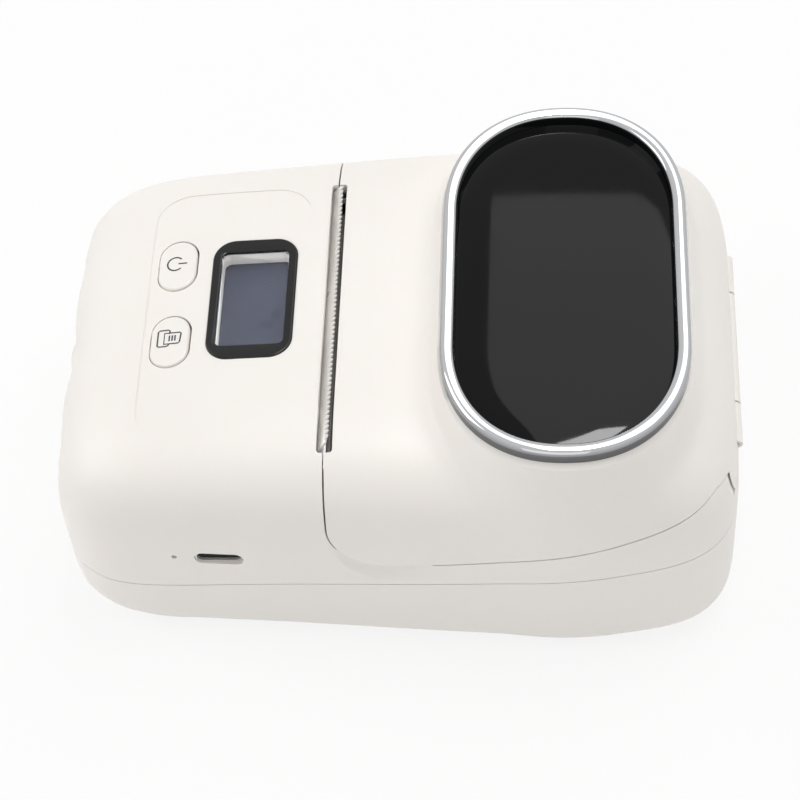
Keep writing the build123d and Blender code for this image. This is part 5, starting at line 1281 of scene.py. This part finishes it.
@dataclass
class InnerWorks:
    """Every other CAD node, with softened edges, and the screws."""

    sharp: tuple[str, ...] = ("display_pane", "battery", "head_springs", "motor_pinion", "first_idler",
                              "second_idler", "platen_gear", "guide_pinion", "roll_guide_left",
                              "roll_guide_right", "roll_tray", "print_frame", "power_plunger",
                              "feed_plunger")
    bevels: dict[str, float] = field(default_factory=lambda: {
        "display_bezel": 0.2, "display_module": 0.15, "platen_roller": 0.3, "rubber_feet": 0.2,
        "usb_socket": 0.08})
    common_bevel: float = 0.12
    done: tuple[str, ...] = ("lower_case", "upper_case", "cover", "lens_ring", "lens", "power_button",
                             "feed_button", "tear_bar")
    key_seat: float = 9.5
    key_spread: float = 3.5

    def build(self) -> None:
        """Refines each remaining node and builds the screws."""
        for node in sorted(frame["nodes"]):
            if node in self.done or node.endswith("_screws"):
                continue
            refine(node, 0.0 if node in self.sharp else self.bevels.get(node, self.common_bevel))
        for screws in self.screws():
            screws.build()

    def screws(self) -> list[ScrewSet]:
        """The six sets of screws, at their places in the CAD."""
        slope = math.radians(FORM.slope)
        keys = []
        for side in (-1, 1):
            y = Keys.center_y + side * self.key_spread
            deck = FORM.deck_z + (y - FORM.seam_y) * math.tan(slope)
            keys.append((Keys.center_x, y + self.key_seat * math.sin(slope),
                         deck - self.key_seat * math.cos(slope)))
        case = [(x, -48.0, 7.0) for x in (-29.4, 29.4)] + [(x, 14.0, 7.0) for x in (-35.8, 35.8)]
        tray = [(x, y, 24.0) for x in (-31.9, 34.9) for y in (24.0, 41.0)]
        down = (0.0, 0.0, -1.0)
        return [
            ScrewSet("board_screws", [(x, y, 23.2) for x in (-26.1, 31.1) for y in (-40.7, -17.9)]),
            ScrewSet("frame_screws", [(x, -9.5, 24.6) for x in (-22.5, 25.5)], shank_length=5.2),
            ScrewSet("tray_screws", tray, shank_length=5.2),
            ScrewSet("case_screws", case, down, head_radius=1.8, head_height=1.4, shank_radius=1.1,
                     shank_length=16.5),
            ScrewSet("cover_screws", [(x, 3.0, 39.4) for x in (-20.5, 23.5)], down, shank_length=4.3),
            ScrewSet("key_board_screws", keys, (0.0, math.sin(slope), -math.cos(slope)), shank_length=4.2)]


# The studio

@dataclass(frozen=True)
class Lamp:
    """One soft lamp with a rectangular face, in metres and watts."""

    name: str
    spot: Point3
    aim: Point3
    size: Point2
    power: float
    diffuse: bool = True

    def build(self) -> None:
        """Puts the lamp in the scene, aimed at its place."""
        data = bpy.data.lights.new(self.name, "AREA")
        data.shape = "RECTANGLE"
        data.size, data.size_y = self.size
        data.energy = self.power
        lamp = bpy.data.objects.new(self.name, data)
        bpy.context.scene.collection.objects.link(lamp)
        lamp.location = self.spot
        lamp.rotation_euler = (Vector(self.aim) - Vector(self.spot)).to_track_quat("-Z", "Y").to_euler()
        lamp.visible_diffuse = self.diffuse


@dataclass
class Studio:
    """Floor, lights, world and the camera at the photograph's angle."""

    focal_px: float = 2452.997
    picture_px: float = 800.0
    sensor_mm: float = 36.0
    elevation: float = 54.49
    turn: float = 6.947
    roll: float = -6.142
    distance: float = 431.212
    offset: Point2 = (0.964, -8.523)
    target: Point3 = (0.0, -0.6, 31.35)
    world_strength: float = 0.44
    floor_tone: Point2 = (0.93, 0.95)
    floor_whitening: float = 0.82
    floor_half: float = 6.0
    floor_scale: float = 4.0
    clip: Point2 = (0.01, 20.0)
    lamps: tuple[Lamp, ...] = (
        Lamp("key_softbox", (-0.425, 0.44, 1.05), (-0.425, 0.44, 0.0), (1.11, 1.04), 7.3),
        Lamp("front_softbox", (-0.1, -0.9, 0.6), (0.0, 0.0, 0.02), (0.7, 0.7), 3.4),
        Lamp("near_fill", (0.9, -0.1, 0.4), (0.0, 0.0, 0.02), (0.7, 0.7), 1.0),
        Lamp("glint", (-0.125, 0.10, 1.0), (0.0, 0.03, 0.05), (0.16, 0.30), 5.0, diffuse=False))

    def build(self) -> None:
        """Sets up the whole studio."""
        scene = bpy.context.scene
        scene.view_settings.view_transform = "Standard"
        self.world(scene)
        self.floor()
        for lamp in self.lamps:
            lamp.build()
        self.camera(scene)

    def camera(self, scene: bpy.types.Scene) -> None:
        """The camera, set by the angles fitted to the photograph."""
        e, d, r = (math.radians(v) for v in (self.elevation, self.turn, self.roll))
        forward = Vector((-math.cos(e) * math.cos(d), -math.cos(e) * math.sin(d), -math.sin(e)))
        level = Vector((-math.sin(d), math.cos(d), 0.0))
        upward = level.cross(forward)
        right = level * math.cos(r) + upward * math.sin(r)
        above = upward * math.cos(r) - level * math.sin(r)
        aside = right * self.offset[0] + above * self.offset[1]
        spot = (Vector(self.target) - forward * self.distance + aside) * MM
        data = bpy.data.cameras.new("camera")
        data.sensor_width = self.sensor_mm
        data.lens = self.focal_px / self.picture_px * self.sensor_mm
        data.clip_start, data.clip_end = self.clip
        camera = bpy.data.objects.new("camera", data)
        scene.collection.objects.link(camera)
        turn = Matrix((right, above, -forward)).transposed()
        camera.matrix_world = Matrix.Translation(spot) @ turn.to_4x4()
        scene.camera = camera

    def world(self, scene: bpy.types.Scene) -> None:
        """A plain pale world: white to the camera, softer as light."""
        world = bpy.data.worlds.new("studio")
        world.use_nodes = True
        scene.world = world
        graph = Graph(world.node_tree)
        light, white = (graph.feed(graph.add("Background"), Color=WHITE, Strength=strength)
                        for strength in (self.world_strength, 1.0))
        graph.feed(graph.add("OutputWorld"), Surface=graph.blend(self.seen_directly(graph), light, white))

    @staticmethod
    def seen_directly(graph: Graph) -> Socket:
        """1 for what the camera sees, also in a mirror or through glass, and 0 for light on things."""
        path = graph.add("LightPath").outputs
        value = path["Is Camera Ray"]
        for name in ("Is Glossy Ray", "Is Transmission Ray"):
            value = graph.math("MAXIMUM", value, path[name])
        return value

    def floor(self) -> None:
        """A wide pale floor: as light a plain grey, and to the eye mostly white with a faint shadow."""
        mesh = bmesh.new()
        bmesh.ops.create_grid(mesh, x_segments=4, y_segments=4, size=self.floor_half)
        piece = to_object(mesh, "floor")
        material = bpy.data.materials.new("floor_pale")
        material.use_nodes = True
        graph = Graph(material.node_tree)
        tone = graph.spread(graph.noise(graph.coordinates(), self.floor_scale), *self.floor_tone)
        matt = graph.feed(graph.add("BsdfDiffuse"), Color=tone)
        white = graph.feed(graph.add("Emission"), Color=WHITE, Strength=1.0)
        share = graph.math("MULTIPLY", self.seen_directly(graph), self.floor_whitening)
        graph.feed(graph.add("OutputMaterial"), Surface=graph.blend(share, matt, white))
        piece.data.materials.append(material)


def main() -> None:
    """Builds the printer's looks around the CAD frame."""
    logging.basicConfig(level=logging.INFO, format="%(name)s %(message)s")
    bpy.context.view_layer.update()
    Shells().build()
    LensAndRing().build()
    Keys().build()
    TearBlade().build()
    PortMouth().build()
    InnerWorks().build()
    Studio().build()


if __name__ == "__main__":
    main()
